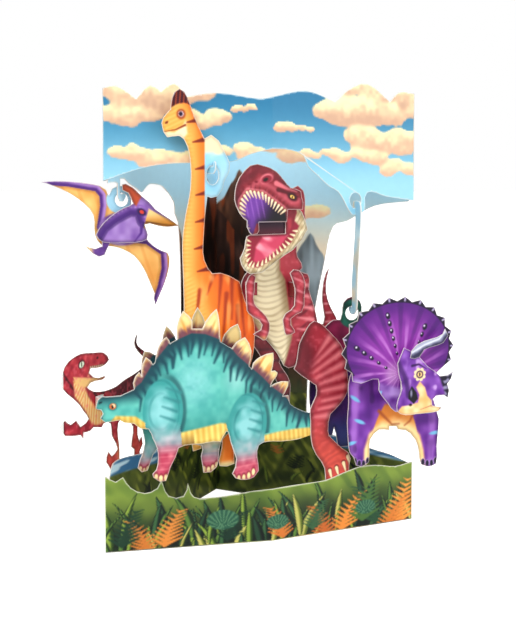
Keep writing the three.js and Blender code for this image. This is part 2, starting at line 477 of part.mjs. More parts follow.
// The plated dinosaur: a near sheet folded at its middle, whose tail flap is glued behind the hunter's shin,
// and a far sheet on two spacers. Its neck is tied to the runner by a strip.
function plated() {
  const run = [Math.cos(PLATED_TURN), Math.sin(PLATED_TURN)];
  const tailStart = hunterPoint(21.2, 2 * LAYER);
  const fold = along(tailStart, run, -PLATED_PANEL);
  const headReach = 61;
  const start = [fold[0] - headReach, fold[1]];
  const fromHead = ([x, z, corner]) => [x + headReach, z, corner];
  const near = [
    [0, 54, 1], [0, 100.3, 1], [-0.3, 108], [-0.9, 112.6], [-1.7, 115.3, 1], [-4.4, 113], [-7, 109.6],
    [-8.4, 106.6, 1], [-13.2, 106.8, 1], [-13.1, 110], [-14.6, 112.6], [-17.4, 115, 1], [-19.2, 112],
    [-20.4, 107.6], [-20.3, 102.2, 1], [-23.4, 100.6, 1], [-24, 102.2], [-25.2, 103.6, 1], [-27.6, 101.6],
    [-29.2, 98.6], [-30, 95.2], [-30.4, 92.4, 1], [-31.4, 91.4, 1], [-32.4, 93.2], [-34.6, 95, 1],
    [-36.2, 92],
    [-36.8, 88.4], [-36.6, 86.6, 1], [-37.6, 88.4, 1], [-39.4, 86.6], [-40.5, 83.6], [-40, 80.8, 1],
    [-42.4, 79.8], [-46, 78.4], [-49, 78.3], [-52.3, 78.3], [-54.5, 78.5], [-56.3, 77], [-57.2, 74],
    [-57, 73],
    [-54.8, 72.5], [-54.1, 70.8], [-55.2, 68.8], [-53, 66.8], [-50.9, 67], [-46.6, 67.4], [-44.5, 66.1],
    [-40.2, 65.4], [-37.3, 62.9], [-33.6, 62.4], [-31.5, 57.8], [-29.6, 53.3], [-29.2, 48.8], [-30, 43.8],
    [-31.8, 41.9], [-31.4, 40.3], [-28.5, 38.2], [-25.6, 38.3], [-24.9, 40.4], [-23.4, 44.6], [-21.2, 48.8],
    [-19.7, 52.8], [-13.8, 54], [-9.2, 53.9], [-3.2, 54.5],
  ].map(fromHead);
  const length = PLATED_PANEL;
  const rear = [
    [0, 54, 1], [0, 100.3, 1], [5, 97.4, 1], [6.8, 96.6, 1], [9.4, 99.2], [14.4, 101, 1], [16.8, 98],
    [18.2, 94.4], [18, 90.4], [16.8, 87.4, 1], [18.4, 85.6, 1], [19.4, 88.4], [23.4, 90.8], [27.7, 91.9],
    [31.5, 92.1, 1], [31.8, 89], [31.2, 85.6], [30.4, 83.4, 1], [32.6, 83.4], [34.2, 82.2, 1], [33.6, 80.6],
    [31.2, 78.4], [29.8, 76.2, 1], [32.6, 77.2], [36.6, 77.8], [41.1, 77.2, 1], [40.8, 75], [39, 72.3],
    [37.4, 70.6, 1], [41, 70.6, 1], [41.4, 68], [42.3, 66], [49.7, 62], [length, 60.2, 1],
    [length, 49, 1], [46.5, 48.2], [36.3, 48.8], [28.4, 49.9], [22.6, 49], [21.6, 43.8], [22.6, 37],
    [19.8, 34.4],
    [14.5, 34], [8.8, 35.7], [7, 38.1], [8.8, 41], [9.3, 44.8], [7.8, 48.6], [6, 53.2], [4.6, 57.8],
    [3.4, 58.5],
  ];
  const path = [start, fold, tailStart, hunterPoint(28.2, 2 * LAYER)];
  const panels = foldedPanels(path, [plate(near), plate(rear), plate(rectangle(0, 7, 49, 60.2))]);
  add(card, 'plated_near', joined(panels), CARD_COLOURS.olive);

  const far = [
    [-28, 51], [-23.7, 54], [-20, 52], [-6.5, 51], [-7, 46], [-6.2, 41.6], [-5.8, 38.3], [-2.3, 38.2],
    [0.7, 40.5],
    [1.5, 45], [2.6, 51.7], [8, 58], [12, 70], [12, 84, 1], [12.6, 98], [12.4, 103.4], [11, 107, 1],
    [7.4, 105.4],
    [4.4, 102.2], [3, 98.6, 1], [-2, 98, 1], [-4.4, 106], [-5.6, 110.6], [-8.4, 115.5, 1], [-10.6, 111.4],
    [-12.2, 106.6], [-13, 100, 1], [-18, 99, 1], [-19.4, 103], [-21.2, 105.6], [-23.3, 107.6, 1],
    [-24.6, 104],
    [-25.4, 100], [-26, 95, 1], [-28.4, 94.4, 1], [-30.6, 95.8], [-33.5, 96.4, 1], [-34.6, 93],
    [-35, 88], [-35, 80], [-36.5, 68], [-34.5, 60],
    [-33.5, 54.3], [-35, 48.5], [-36.8, 43], [-35, 41], [-32.2, 41.6], [-31, 45], [-29.7, 48.5],
  ];
  const farPlane = fold[1] + PLATED_GAP;
  add(card, 'plated_far', plate(far), CARD_COLOURS.green, [fold[0], farPlane, 0]);
  const [nearFlap, farFlap] = [fold[1] + LAYER, farPlane - LAYER];
  for (const [name, x] of [['plated_front_spacer', -28], ['plated_rear_spacer', -6]]) {
    const web = fold[0] + x;
    const spacer = ribbon([[web - 4, nearFlap], [web, nearFlap], [web, farFlap],
      [web + 4, farFlap]], 68, 80);
    add(card, name, spacer, CARD_COLOURS.plain);
  }
  const strip = [
    [fold[0] - 46, nearFlap], [fold[0] - 51, nearFlap],
    along(LEFT_FOLD, REAR_RUN, -8), along(LEFT_FOLD, REAR_RUN, -2),
  ];
  add(card, 'plated_strip', ribbon(strip, 70, 75), CARD_COLOURS.olive);
}

// The flyer hangs by its ring on the rear sheet's hook: wings with the ring, and the body in front of them
const REAR_HOOK_PLAN = along(SHEET_FOLD, REAR_RUN, REAR_HOOK_INSET - SHEET_LENGTH);
function flyer() {
  const wings = [
    [-37.4, 5, 1], [-30.4, 5.6], [-20.4, 5], [-10.4, 3.4], [-7.4, 1.6], [-6, -1], [-4.5, 2], [0, 3.3],
    [4.3, 0],
    [4.6, -4], [4.4, -7], [12, -10], [11, -16], [11.5, -21], [15, -25], [19, -27.5], [22.2, -28.7],
    [23.2, -31],
    [22.7, -36.8], [20.7, -43.4], [18.7, -48], [16.2, -53.7, 1], [15.4, -50.7], [15.7, -48], [14, -44],
    [10.6, -36.3], [6, -30], [0.4, -26.7], [-4.2, -25.3], [-9.8, -24.3], [-12.7, -19.7], [-13.4, -10.5],
    [-17.7, -5], [-25.7, 0.5], [-34.9, 4.4],
  ];
  const body = [
    [-12.9, -19.7], [-9.6, -14.3], [-4.7, -10], [0.3, -7], [4.7, -5], [3.9, -2.8], [2.5, 0], [-0.3, 1.3],
    [-0.4, 4, 1], [1.4, 4.3], [4.8, 2.5], [8.8, -1.3], [12.8, -4.6], [15.6, -7.8], [19.1, -10.2],
    [24.1, -13.5],
    [26.8, -15.7, 1], [21.4, -16.2], [16.8, -15.6], [12.8, -14.5], [10.3, -15, 1], [10.9, -16.6],
    [11.4, -22],
    [0.6, -23.5], [-9.6, -23], [-11.9, -21.3],
  ];
  const foot = [
    [-18, -24.5, 1], [-14.2, -28.3], [-11.4, -29.8], [-8.7, -29], [-7.3, -25.8], [-5, -20], [-9, -18],
    [-9.8, -24.8, 1],
    [-13, -26],
  ];
  const ring = ellipse(0, -3.2, 3, 3.2);
  const group = new THREE.Group();
  group.position.set(...REAR_HOOK_PLAN, REAR_HOOK_SEAT + RUNNING_GAP);
  const [face, inner] = [-FLYER_BODY_FORWARD, LAYER - FLYER_BODY_FORWARD];
  add(group, 'flyer_wings', plate(wings, [ring]), CARD_COLOURS.violet);
  add(group, 'flyer_body', plate(body), CARD_COLOURS.violet, [0, face, 0]);
  add(group, 'flyer_foot', plate(foot), CARD_COLOURS.violet, [0, inner, 0]);
  const spacer = ribbon([[4, -LAYER], [9, -LAYER], [9, inner], [4, inner]], -19, -12);
  add(group, 'flyer_spacer', spacer, CARD_COLOURS.plain);
  card.add(group);
}

// The long-necked dinosaur: one sheet, hung by the hole in its neck tab on the forward hook
function longneck() {
  const outline = [
    [-24, 19.3], [-23.1, 22], [-21, 24.5], [-19.7, 25.7], [-19.8, 26.3, 1], [-19.2, 30.3], [-18, 33.4],
    [-15.5, 35.2], [-13.2, 33.8], [-11.4, 30.6], [-9.6, 25.7], [-7.8, 21], [-6, 17], [-3.6, 12.5, 1],
    [-0.4, 14.3], [3.2, 11.7], [6.6, 5.5], [8.7, 1], [8.4, -2.7], [6, -7], [5.1, -11], [2.7, -14.3],
    [-0.4, -15], [-2.3, -14.3, 1], [-3.4, -23], [-4, -31.6], [-4.4, -40.4], [-3.8, -44], [-1.9, -48],
    [0.1, -50.3, 1], [4.1, -50.1], [8, -51.4], [12, -53.6], [13.4, -54.5], [15, -60], [17, -66],
    [20.5, -73],
    [21, -80], [20, -90], [17, -100], [15, -108], [12, -113], [11, -120], [10.5, -130], [10.8, -141, 1],
    [7, -142], [3.5, -141.5, 1], [3, -139], [4.5, -133], [4.2, -122], [0, -117], [-5, -118], [-5.5, -128],
    [-5.5, -132.5, 1], [-9.5, -133.5, 1], [-10, -130], [-11.5, -120], [-13, -112], [-13.5, -105],
    [-14, -90],
    [-13.7, -66.5], [-14, -51.4], [-14.4, -40.4], [-14.3, -34.5], [-13.7, -28.7], [-12.7, -22.3],
    [-11.7, -17.6], [-10.5, -11], [-10.2, -2.5], [-10.7, 3.5], [-11.7, 8.6], [-13.5, 12.2], [-15.6, 13.6],
    [-18.6, 13.3], [-21.3, 12.8], [-23.1, 15.3],
  ];
  const hole = ellipse(0.2, -4.4, 3, 4.4);
  const place = [...HOOK_SEAT_PLAN, FORWARD_HOOK_SEAT + RUNNING_GAP];
  add(card, 'longneck', plate(outline, [hole]), CARD_COLOURS.green, place);
}

// The link: a tall strip at right angles to the band, hooked over the eye's sill, with a hook below
const EYE_PLAN = along(FRONT_FOLD, FRONT_RUN, EYE_ALONG);
const LINK_FRONT = -(RUNNING_GAP + CARD / 2);
function link() {
  const [seat, drop] = [RUNNING_GAP, -LINK_DROP];
  const ringPlane = HORNED_BODY_PLANE - EYE_PLAN[1];
  const ringFace = ringPlane - CARD / 2 - RUNNING_GAP;
  const outline = [
    [-6.8, 1], [-5.4, 3.4], [-2, 3.8], [1.6, 3.6], [2.6, 2.2], [2.6, -1.8, 1], [1.4, -1.8, 1],
    [1.2, seat, 1],
    [LINK_FRONT, seat, 1], [LINK_FRONT, -8], [1.2, -22], [ringFace, -36], [ringFace, -44, 1],
    [ringFace, drop, 1],
    [ringPlane + 1.8, drop, 1], [ringPlane + 1.8, drop + 2, 1], [ringPlane + 3.2, drop + 2.2, 1],
    [ringPlane + 3.1, drop - 2], [ringPlane + 1.6, drop - 3.5], [ringPlane - 3.4, drop - 3.5],
    [-2.4, drop - 1],
    [-3, -44], [-3.4, -36], [-5, -22], [-6.8, -8],
  ];
  const group = new THREE.Group();
  group.position.set(...EYE_PLAN, EYE_SILL);
  group.rotation.z = Math.PI / 2;
  add(group, 'link', plate(outline), CARD_COLOURS.plain);
  card.add(group);
}

// The horned dinosaur hangs by its ring on the link. Four figure sheets stand one before another on spacers,
// with x and z measured from the seat in the ring.
function horned() {
  const body = [
    [-14.4, -9.8], [-10.1, -6.6], [-6.3, -6.6], [-5.3, -3.2], [-4.6, 2], [0, 4.8], [4.6, 2], [5.3, -3.2],
    [4, -6.8],
    [9.5, -8.7], [16.5, -13.7], [22.5, -22.7], [24.5, -32.7], [22.5, -44.7], [16.5, -53.7], [8.5, -58.7],
    [2.5, -60.7], [2.5, -68.7], [0.5, -70.7, 1], [-6.5, -70.7, 1], [-7.5, -69.7], [-8.5, -63.7],
    [-9.5, -60.7],
    [-10.5, -64.7, 1], [-15.5, -64.2, 1], [-16, -60.7], [-17.5, -56.7], [-21.5, -52.7], [-22.9, -44.7],
    [-22.6, -34.7], [-22.5, -30.7], [-20.5, -18.7], [-17.5, -12.7],
  ];
  const chest = [
    [-6.1, -32.9], [-7.1, -36.7], [-6.9, -45.9], [-7.4, -52], [-7.6, -55.8], [-7.1, -64.7], [-6.7, -68.4],
    [-6.1, -70.9], [-4, -73.5], [-2.7, -77.4], [0, -78.2], [2.7, -77.5], [4.1, -76.1], [4.4, -70.4],
    [4.7, -65.3], [6.8, -62.4], [9.5, -60.6], [15.1, -61.2, 1], [15.2, -59.3, 1], [19.1, -59.6, 1],
    [19.9, -61.2], [24, -61.9], [26.8, -63.7], [29.6, -67.1], [31.3, -71.7], [32, -76.8], [33, -80],
    [36.5, -81.3], [41.3, -80.2], [41.9, -76.8], [41.7, -71.1], [42.6, -61.5], [42.8, -57.6], [41.8, -54.3],
    [38.5, -44.7], [32.5, -34.7], [20.5, -26.7], [4.5, -24.7], [-3.5, -28.7],
  ];
  const frillRim = Array.from({ length: 31 }, (_, i) => {
    const angle = (-25 + (250 / 30) * i) * Math.PI / 180;
    const spike = i % 2;
    return [15 + (28 + 2.2 * spike) * Math.cos(angle), -18.7 + (23 + 2.2 * spike) * Math.sin(angle), 1];
  });
  const frill = [...frillRim, [4.2, -33.4], [4.5, -38.7], [9.5, -45.5], [13.6, -49.9], [20.5, -48.7],
    [26.5, -40.7],
    [32.5, -34.7]];
  const face = [
    [12.1, -25.3, 1], [15.5, -17.9, 1], [19.2, -19.7], [23.6, -22.6], [28.4, -27.7], [32.2, -30.1],
    [35, -32.7],
    [39.1, -32.5], [42.2, -30.9, 1], [41.1, -34.5], [39.1, -36.8], [40.1, -39.9], [39.4, -43.6, 1],
    [37, -42.2],
    [33, -42.4], [30.5, -44.6, 1], [30.9, -47, 1], [36.3, -48.2, 1], [34.3, -49.9], [31.6, -50.3],
    [21.9, -50.6],
    [16.5, -50.7], [12, -48.5], [12.5, -42.7], [14.5, -37.6], [12.8, -30.7],
  ];
  const browHorn = [
    [18.5, -23], [23.5, -22.6], [26, -19.2], [31.4, -17.8], [36.3, -16.3], [38.9, -12.9], [37.2, -9.5, 1],
    [36, -12.1], [32.9, -13.5], [26, -15], [21.9, -16.7], [19.1, -19.6],
  ];
  const group = new THREE.Group();
  group.position.set(EYE_PLAN[0], HORNED_BODY_PLANE, EYE_SILL - LINK_DROP + RUNNING_GAP);
  const planes = { chest: -HORNED_CHEST_FORWARD, frill: -HORNED_FRILL_FORWARD, face: -HORNED_FACE_FORWARD };
  const ring = ellipse(0, -3.5, 3.5, 3.5);
  add(group, 'horned_body', plate(body, [ring]), CARD_COLOURS.amber);
  add(group, 'horned_chest', plate(chest), CARD_COLOURS.amber, [0, planes.chest, 0]);
  add(group, 'horned_frill', plate(frill), CARD_COLOURS.amber, [0, planes.frill, 0]);
  add(group, 'horned_face', plate(face), CARD_COLOURS.amber, [0, planes.face, 0]);
  add(group, 'horned_brow_horn', plate(browHorn), CARD_COLOURS.sand, [0, planes.face - LAYER, 0]);
  const spacers = [
    ['horned_left_spacer', 14.5, 0, planes.chest, -46.7, -34.7],
    ['horned_right_spacer', 20.5, 0, planes.chest, -46.7, -34.7],
    ['horned_frill_spacer', 19, planes.chest, planes.frill, -44.7, -30.7],
    ['horned_face_spacer', 20, planes.frill, planes.face, -44.7, -30.7],
  ];
  for (const [name, web, rear, front, low, high] of spacers) {
    const path = [[web - 4, rear - LAYER], [web, rear - LAYER], [web, front + LAYER],
      [web - 4, front + LAYER]];
    add(group, name, ribbon(path, low, high), CARD_COLOURS.plain);
  }
  card.add(group);
}

frontSky();
frontGround();
rearSheet();
runner();
hunterBody();
hunterArms();
hunterHead();
hunterTail();
neckBrace();
plated();
flyer();
longneck();
link();
horned();

// The origin is under the middle of the whole card, on the table
const bounds = new THREE.Box3().setFromObject(card);
const middle = bounds.getCenter(new THREE.Vector3());
card.position.set(-middle.x, -middle.y, -bounds.min.z);

export default card;
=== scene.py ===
"""Swing card: printed and die-cut sheets of coated card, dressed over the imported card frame."""

import json
import math

import bpy
import numpy as np
from mathutils.geometry import delaunay_2d_cdt
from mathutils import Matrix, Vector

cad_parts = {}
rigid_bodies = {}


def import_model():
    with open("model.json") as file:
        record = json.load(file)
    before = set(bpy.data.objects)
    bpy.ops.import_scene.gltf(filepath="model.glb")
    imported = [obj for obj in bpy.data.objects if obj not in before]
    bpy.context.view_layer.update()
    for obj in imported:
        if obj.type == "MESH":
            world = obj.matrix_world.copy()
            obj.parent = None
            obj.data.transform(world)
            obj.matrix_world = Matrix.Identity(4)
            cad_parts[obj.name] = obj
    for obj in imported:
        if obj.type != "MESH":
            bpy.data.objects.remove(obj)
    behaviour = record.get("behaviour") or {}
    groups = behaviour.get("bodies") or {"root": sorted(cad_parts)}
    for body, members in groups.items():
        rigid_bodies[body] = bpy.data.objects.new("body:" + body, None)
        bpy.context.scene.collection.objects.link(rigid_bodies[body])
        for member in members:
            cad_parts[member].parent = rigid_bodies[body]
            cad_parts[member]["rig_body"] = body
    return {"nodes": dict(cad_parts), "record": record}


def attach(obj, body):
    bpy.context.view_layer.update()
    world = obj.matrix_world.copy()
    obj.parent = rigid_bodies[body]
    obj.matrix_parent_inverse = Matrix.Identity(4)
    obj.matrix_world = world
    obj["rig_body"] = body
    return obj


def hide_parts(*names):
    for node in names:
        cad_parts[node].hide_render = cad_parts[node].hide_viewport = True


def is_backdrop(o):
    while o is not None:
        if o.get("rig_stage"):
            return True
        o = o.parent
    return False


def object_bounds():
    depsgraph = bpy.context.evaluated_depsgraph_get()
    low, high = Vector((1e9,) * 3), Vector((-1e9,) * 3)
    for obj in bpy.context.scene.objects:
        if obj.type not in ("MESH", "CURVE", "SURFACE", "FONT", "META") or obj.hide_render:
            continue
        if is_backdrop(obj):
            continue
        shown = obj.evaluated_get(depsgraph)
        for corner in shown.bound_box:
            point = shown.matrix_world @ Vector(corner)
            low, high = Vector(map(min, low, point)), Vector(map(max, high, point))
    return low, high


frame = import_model()
cad_box = [list(corner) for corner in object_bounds()]
scene = bpy.context.scene

# Camera and studio. The camera stands left of the card and a little above its middle, and its frame is
# shifted down, as a product picture of an upright card is taken.
CARD_ORIGIN = np.array((-0.007817, 0.028568, 0.0))
CAMERA_PLACE = np.array((-0.1702, -0.4865, 0.1704))
CAMERA_YAW = 0.329
CAMERA_PITCH = math.radians(2.5)
LENS_MM = 59.8
FRAME_SHIFT = -0.134
FLOOR_REACH = 40
FLOOR_DROP = 0.0003
CARD_MIDDLE = (0, -0.02, 0.11)
LAMPS = [
    ("key", (-0.7, -1.1, 1.1), 0.9, 13.0),
    ("fill", (0.9, -1.0, 0.5), 1.1, 6.0),
    ("back", (0.2, 1.2, 0.9), 1.0, 5.0),
]

camera = bpy.data.objects.new("camera", bpy.data.cameras.new("camera"))
camera.location = CAMERA_PLACE - CARD_ORIGIN
camera.rotation_euler = (math.pi / 2 - CAMERA_PITCH, 0, -CAMERA_YAW)
camera.data.lens = LENS_MM
camera.data.shift_y = FRAME_SHIFT
camera.data.clip_start = 0.01
scene.collection.objects.link(camera)
scene.camera = camera
scene.view_settings.view_transform = "Standard"


def linear(colours):
    """sRGB values from 0 to 1, turned to linear light: the standard's power curve over its straight foot."""
    colours = np.asarray(colours, float)
    return np.where(colours <= 0.04045, colours / 12.92, ((colours + 0.055) / 1.055) ** 2.4)


def tint(text):
    """An sRGB hex colour as three numbers from 0 to 1."""
    return np.array([int(text[i:i + 2], 16) for i in (1, 3, 5)]) / 255


def add_node(owner, kind, settings=None, links=None):
    """One node with its settings, and its sockets linked from other nodes' outputs."""
    node = owner.node_tree.nodes.new(kind)
    for name, value in (settings or {}).items():
        if name in node.inputs:
            node.inputs[name].default_value = value
        else:
            setattr(node, name, value)
    for name, source in (links or {}).items():
        owner.node_tree.links.new(source, node.inputs[name])
    return node


def new_material(name):
    """An empty node material with its Principled shader."""
    material = bpy.data.materials.new(name)
    material.use_nodes = True
    return material, material.node_tree.nodes["Principled BSDF"]


floor_material, floor_shader = new_material("pale_paper_sweep")
floor_shader.inputs["Base Color"].default_value = (*linear(tint("#f4f3f1")), 1)
floor_shader.inputs["Roughness"].default_value = 0.9
path = add_node(floor_material, "ShaderNodeLightPath")
glow = add_node(floor_material, "ShaderNodeEmission", {"Color": (1, 1, 1, 1), "Strength": 0.9})
floor_mix = add_node(floor_material, "ShaderNodeMixShader", None, {"Fac": path.outputs["Is Camera Ray"]})
floor_sum = add_node(floor_material, "ShaderNodeAddShader")
tree = floor_material.node_tree
tree.links.new(floor_shader.outputs[0], floor_sum.inputs[0])
tree.links.new(glow.outputs[0], floor_sum.inputs[1])
tree.links.new(floor_shader.outputs[0], floor_mix.inputs[1])
tree.links.new(floor_sum.outputs[0], floor_mix.inputs[2])
tree.links.new(floor_mix.outputs[0], tree.nodes["Material Output"].inputs["Surface"])
floor_mesh = bpy.data.meshes.new("floor")
floor_corners = [(x * FLOOR_REACH, y * FLOOR_REACH, 0) for x, y in ((-1, -1), (1, -1), (1, 1), (-1, 1))]
floor_mesh.from_pydata(floor_corners, [], [(0, 1, 2, 3)])
floor_mesh.materials.append(floor_material)
floor = bpy.data.objects.new("floor", floor_mesh)
scene.collection.objects.link(floor)
floor.location.z = -FLOOR_DROP
floor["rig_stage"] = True

world = bpy.data.worlds.new("studio")
scene.world = world
world.use_nodes = True
background = world.node_tree.nodes["Background"]
seen = add_node(world, "ShaderNodeLightPath").outputs["Is Camera Ray"]
strength = add_node(world, "ShaderNodeMapRange", {"To Min": 0.62, "To Max": 1.0}, {"Value": seen})
world.node_tree.links.new(strength.outputs[0], background.inputs["Strength"])
background.inputs["Color"].default_value = (1, 1, 1, 1)

for lamp_name, place, size, watts in LAMPS:
    lamp = bpy.data.objects.new(lamp_name, bpy.data.lights.new(lamp_name, "AREA"))
    lamp.data.size = size
    lamp.data.energy = watts
    lamp.location = place
    aim = np.array(place) - CARD_MIDDLE
    lamp.rotation_euler = (math.acos(aim[2] / np.linalg.norm(aim)), 0, math.atan2(aim[0], -aim[1]))
    scene.collection.objects.link(lamp)


# Card stock. The sheets are coated white card, offset printed and die-cut: satin print, a bare white core at
# every cut edge, and plain uncoated white where nothing is printed.
PAPER_CLOUD_MM = 4.0
PAPER_TOOTH_MM = 0.35
PLAIN_PITCH_MM = 2.5
ROW_SHARE = 0.87
RIM_SHARE = 0.45
NARROWEST_FACE_MM = 0.9
LEVEL_COSINE = 0.9999
BEND_COSINE = 0.3
UPRIGHT_SINE = 0.02
WELD_M = 0.000004
INK_GAIN = 1.14
INK_MIDDLE = 0.46
SLOT_OF = {part["node"]: part["material_slot"] for part in frame["record"]["subparts"]}


def card_stock(name, roughness, coat, colour=None):
    """Card: the printed colours, or one colour mottled by the paper's own formation, over a fine tooth."""
    material, shader = new_material(name)
    place = add_node(material, "ShaderNodeTexCoord").outputs["Object"]
    noise = []
    for grain, detail in ((PAPER_CLOUD_MM, 3), (PAPER_TOOTH_MM, 2)):
        settings = {"Scale": 1000 / grain, "Detail": detail}
        noise.append(add_node(material, "ShaderNodeTexNoise", settings, {"Vector": place}).outputs[0])
    cloud, tooth = noise
    level = add_node(material, "ShaderNodeMapRange", {"To Min": 0.95, "To Max": 1.04}, {"Value": cloud})
    if colour is None:
        ink = add_node(material, "ShaderNodeVertexColor", {"layer_name": "print"}).outputs["Color"]
    else:
        ink = add_node(material, "ShaderNodeRGB")
        ink.outputs[0].default_value = (*linear(tint(colour)), 1)
        ink = ink.outputs[0]
    shades = {"Vector": ink, "Scale": level.outputs[0]}
    mixed = add_node(material, "ShaderNodeVectorMath", {"operation": "SCALE"}, shades)
    bump = add_node(material, "ShaderNodeBump", {"Strength": 0.12, "Distance": 0.0001}, {"Height": tooth})
    material.node_tree.links.new(mixed.outputs[0], shader.inputs["Base Color"])
    material.node_tree.links.new(bump.outputs[0], shader.inputs["Normal"])
    shader.inputs["Roughness"].default_value = roughness
    shader.inputs["Specular IOR Level"].default_value = 0.3
    shader.inputs["Coat Weight"].default_value = coat
    shader.inputs["Coat Roughness"].default_value = 0.3
    return material


PRINTED = card_stock("offset_printed_coated_card", 0.45, 0.08)
CUT_EDGE = card_stock("die_cut_card_core", 0.85, 0.0, "#f3efe8")


def inside(points, rings):
    """True for each 2D point inside the rings: a ray to the right crosses an odd number of their edges."""
    start, end = rings[:, 0], rings[:, 1]
    x, y = points[:, 0, None], points[:, 1, None]
    spans = (start[None, :, 1] > y) != (end[None, :, 1] > y)
    rise = np.where(end[:, 1] == start[:, 1], 1e-12, end[:, 1] - start[:, 1])
    meets = start[None, :, 0] + (y - start[None, :, 1]) * (end[:, 0] - start[:, 0]) / rise
    return (spans & (x < meets)).sum(1) % 2 == 1


def edge_distance(points, rings):
    """Each 2D point's distance to the nearest edge."""
    nearest = np.full(len(points), 1e9)
    for start, end in rings:
        run = end - start
        share = np.clip(((points - start) @ run) / max(run @ run, 1e-12), 0, 1)
        nearest = np.minimum(nearest, np.hypot(*(points - start - share[:, None] * run).T))
    return nearest


def split_edge(edge, pitch):
    """An edge cut into equal parts about pitch long, so that a fold carries print along its whole length."""
    parts = max(1, round(np.hypot(*(edge[1] - edge[0])) / pitch))
    places = edge[0] + np.linspace(0, 1, parts + 1)[:, None] * (edge[1] - edge[0])
    return np.stack([places[:-1], places[1:]], 1)


def flat_patches(points, triangles):
    """A label for each triangle: those joined across an edge in one plane share their lowest number."""
    _, same = np.unique(np.round(points[triangles.ravel()], 3), axis=0, return_inverse=True)
    corner = same.reshape(-1, 3)
    a, b, c = (points[triangles[:, i]] for i in range(3))
    normal = np.cross(b - a, c - a)
    normal /= np.linalg.norm(normal, axis=1, keepdims=True) + 1e-12
    edges = np.sort(np.concatenate([corner[:, (0, 1)], corner[:, (1, 2)], corner[:, (2, 0)]]), axis=1)
    owner = np.tile(np.arange(len(triangles)), 3)
    order = np.lexsort(edges.T)
    edges, owner = edges[order], owner[order]
    pair = (edges[1:] == edges[:-1]).all(1)
    left, right = owner[:-1][pair], owner[1:][pair]
    level = (normal[left] * normal[right]).sum(1) > LEVEL_COSINE
    left, right = left[level], right[level]
    label = np.arange(len(triangles))
    before = None
    while before is None or (before != label).any():
        before = label.copy()
        lowest = np.minimum(label[left], label[right])
        np.minimum.at(label, left, lowest)
        np.minimum.at(label, right, lowest)
    return label, normal, corner


def broad_faces(label, normal, keys, spans):
    """True for each triangle of a sheet's own faces, and False for those of its cut thickness: an upright
    patch is a face where it is broad, or where a broad one carries on from it round a bend."""
    wide = np.zeros(len(label), bool)
    for patch in np.unique(label):
        own = label == patch
        wide[own] = np.hypot(np.ptp(spans[own][..., 0]), np.ptp(spans[own][..., 1])) >= NARROWEST_FACE_MM
    upright = abs(normal[:, 2]) < UPRIGHT_SINE
    wide &= upright
    for patch in np.unique(label[upright & ~wide]):
        own = label == patch
        beside = wide & (normal @ normal[own][0] > BEND_COSINE)
        wide[own] = np.isin(keys[own], keys[beside]).any()
    return wide


def filled_face(rings, step):
    """Points and triangles that fill an outline: its own points, and staggered rows step mm apart."""
    low, high = rings.min((0, 1)), rings.max((0, 1))
    gx, gz = np.meshgrid(np.arange(low[0], high[0], step), np.arange(low[1], high[1], step * ROW_SHARE))
    gx = gx + step / 2 * (np.arange(len(gx)) % 2)[:, None]
    grid = np.stack([gx.ravel(), gz.ravel()], -1)
    grid = grid[inside(grid, rings)]
    grid = grid[edge_distance(grid, rings) > step * RIM_SHARE]
    rim, rim_index = np.unique(np.round(rings.reshape(-1, 2), 5), axis=0, return_inverse=True)
    borders = [tuple(map(int, edge)) for edge in rim_index.reshape(-1, 2)]
    filled = delaunay_2d_cdt([tuple(p) for p in np.concatenate([rim, grid])], borders, [], 0, 1e-6)
    spread = np.array([tuple(p) for p in filled[0]])
    faces = np.array([face for face in filled[2] if len(face) == 3])
    return spread, faces[inside(spread[faces].mean(1), rings)]


def print_mesh(name, shape, faces, colours, slots):
    """A mesh of triangles that carries the print as a colour attribute and has the two card materials."""
    mesh = bpy.data.meshes.new(name)
    mesh.vertices.add(len(shape))
    mesh.vertices.foreach_set("co", shape.ravel())
    mesh.loops.add(faces.size)
    mesh.loops.foreach_set("vertex_index", faces.ravel())
    mesh.polygons.add(len(faces))
    mesh.polygons.foreach_set("loop_start", np.arange(0, faces.size, 3))
    mesh.polygons.foreach_set("material_index", slots)
    mesh.update(calc_edges=True)
    ink = mesh.color_attributes.new("print", "FLOAT_COLOR", "CORNER")
    values = np.column_stack([linear(colours), np.ones(len(colours))])[faces.ravel()]
    ink.data.foreach_set("color", values.ravel())
    mesh.materials.append(PRINTED)
    mesh.materials.append(CUT_EDGE)
    return mesh


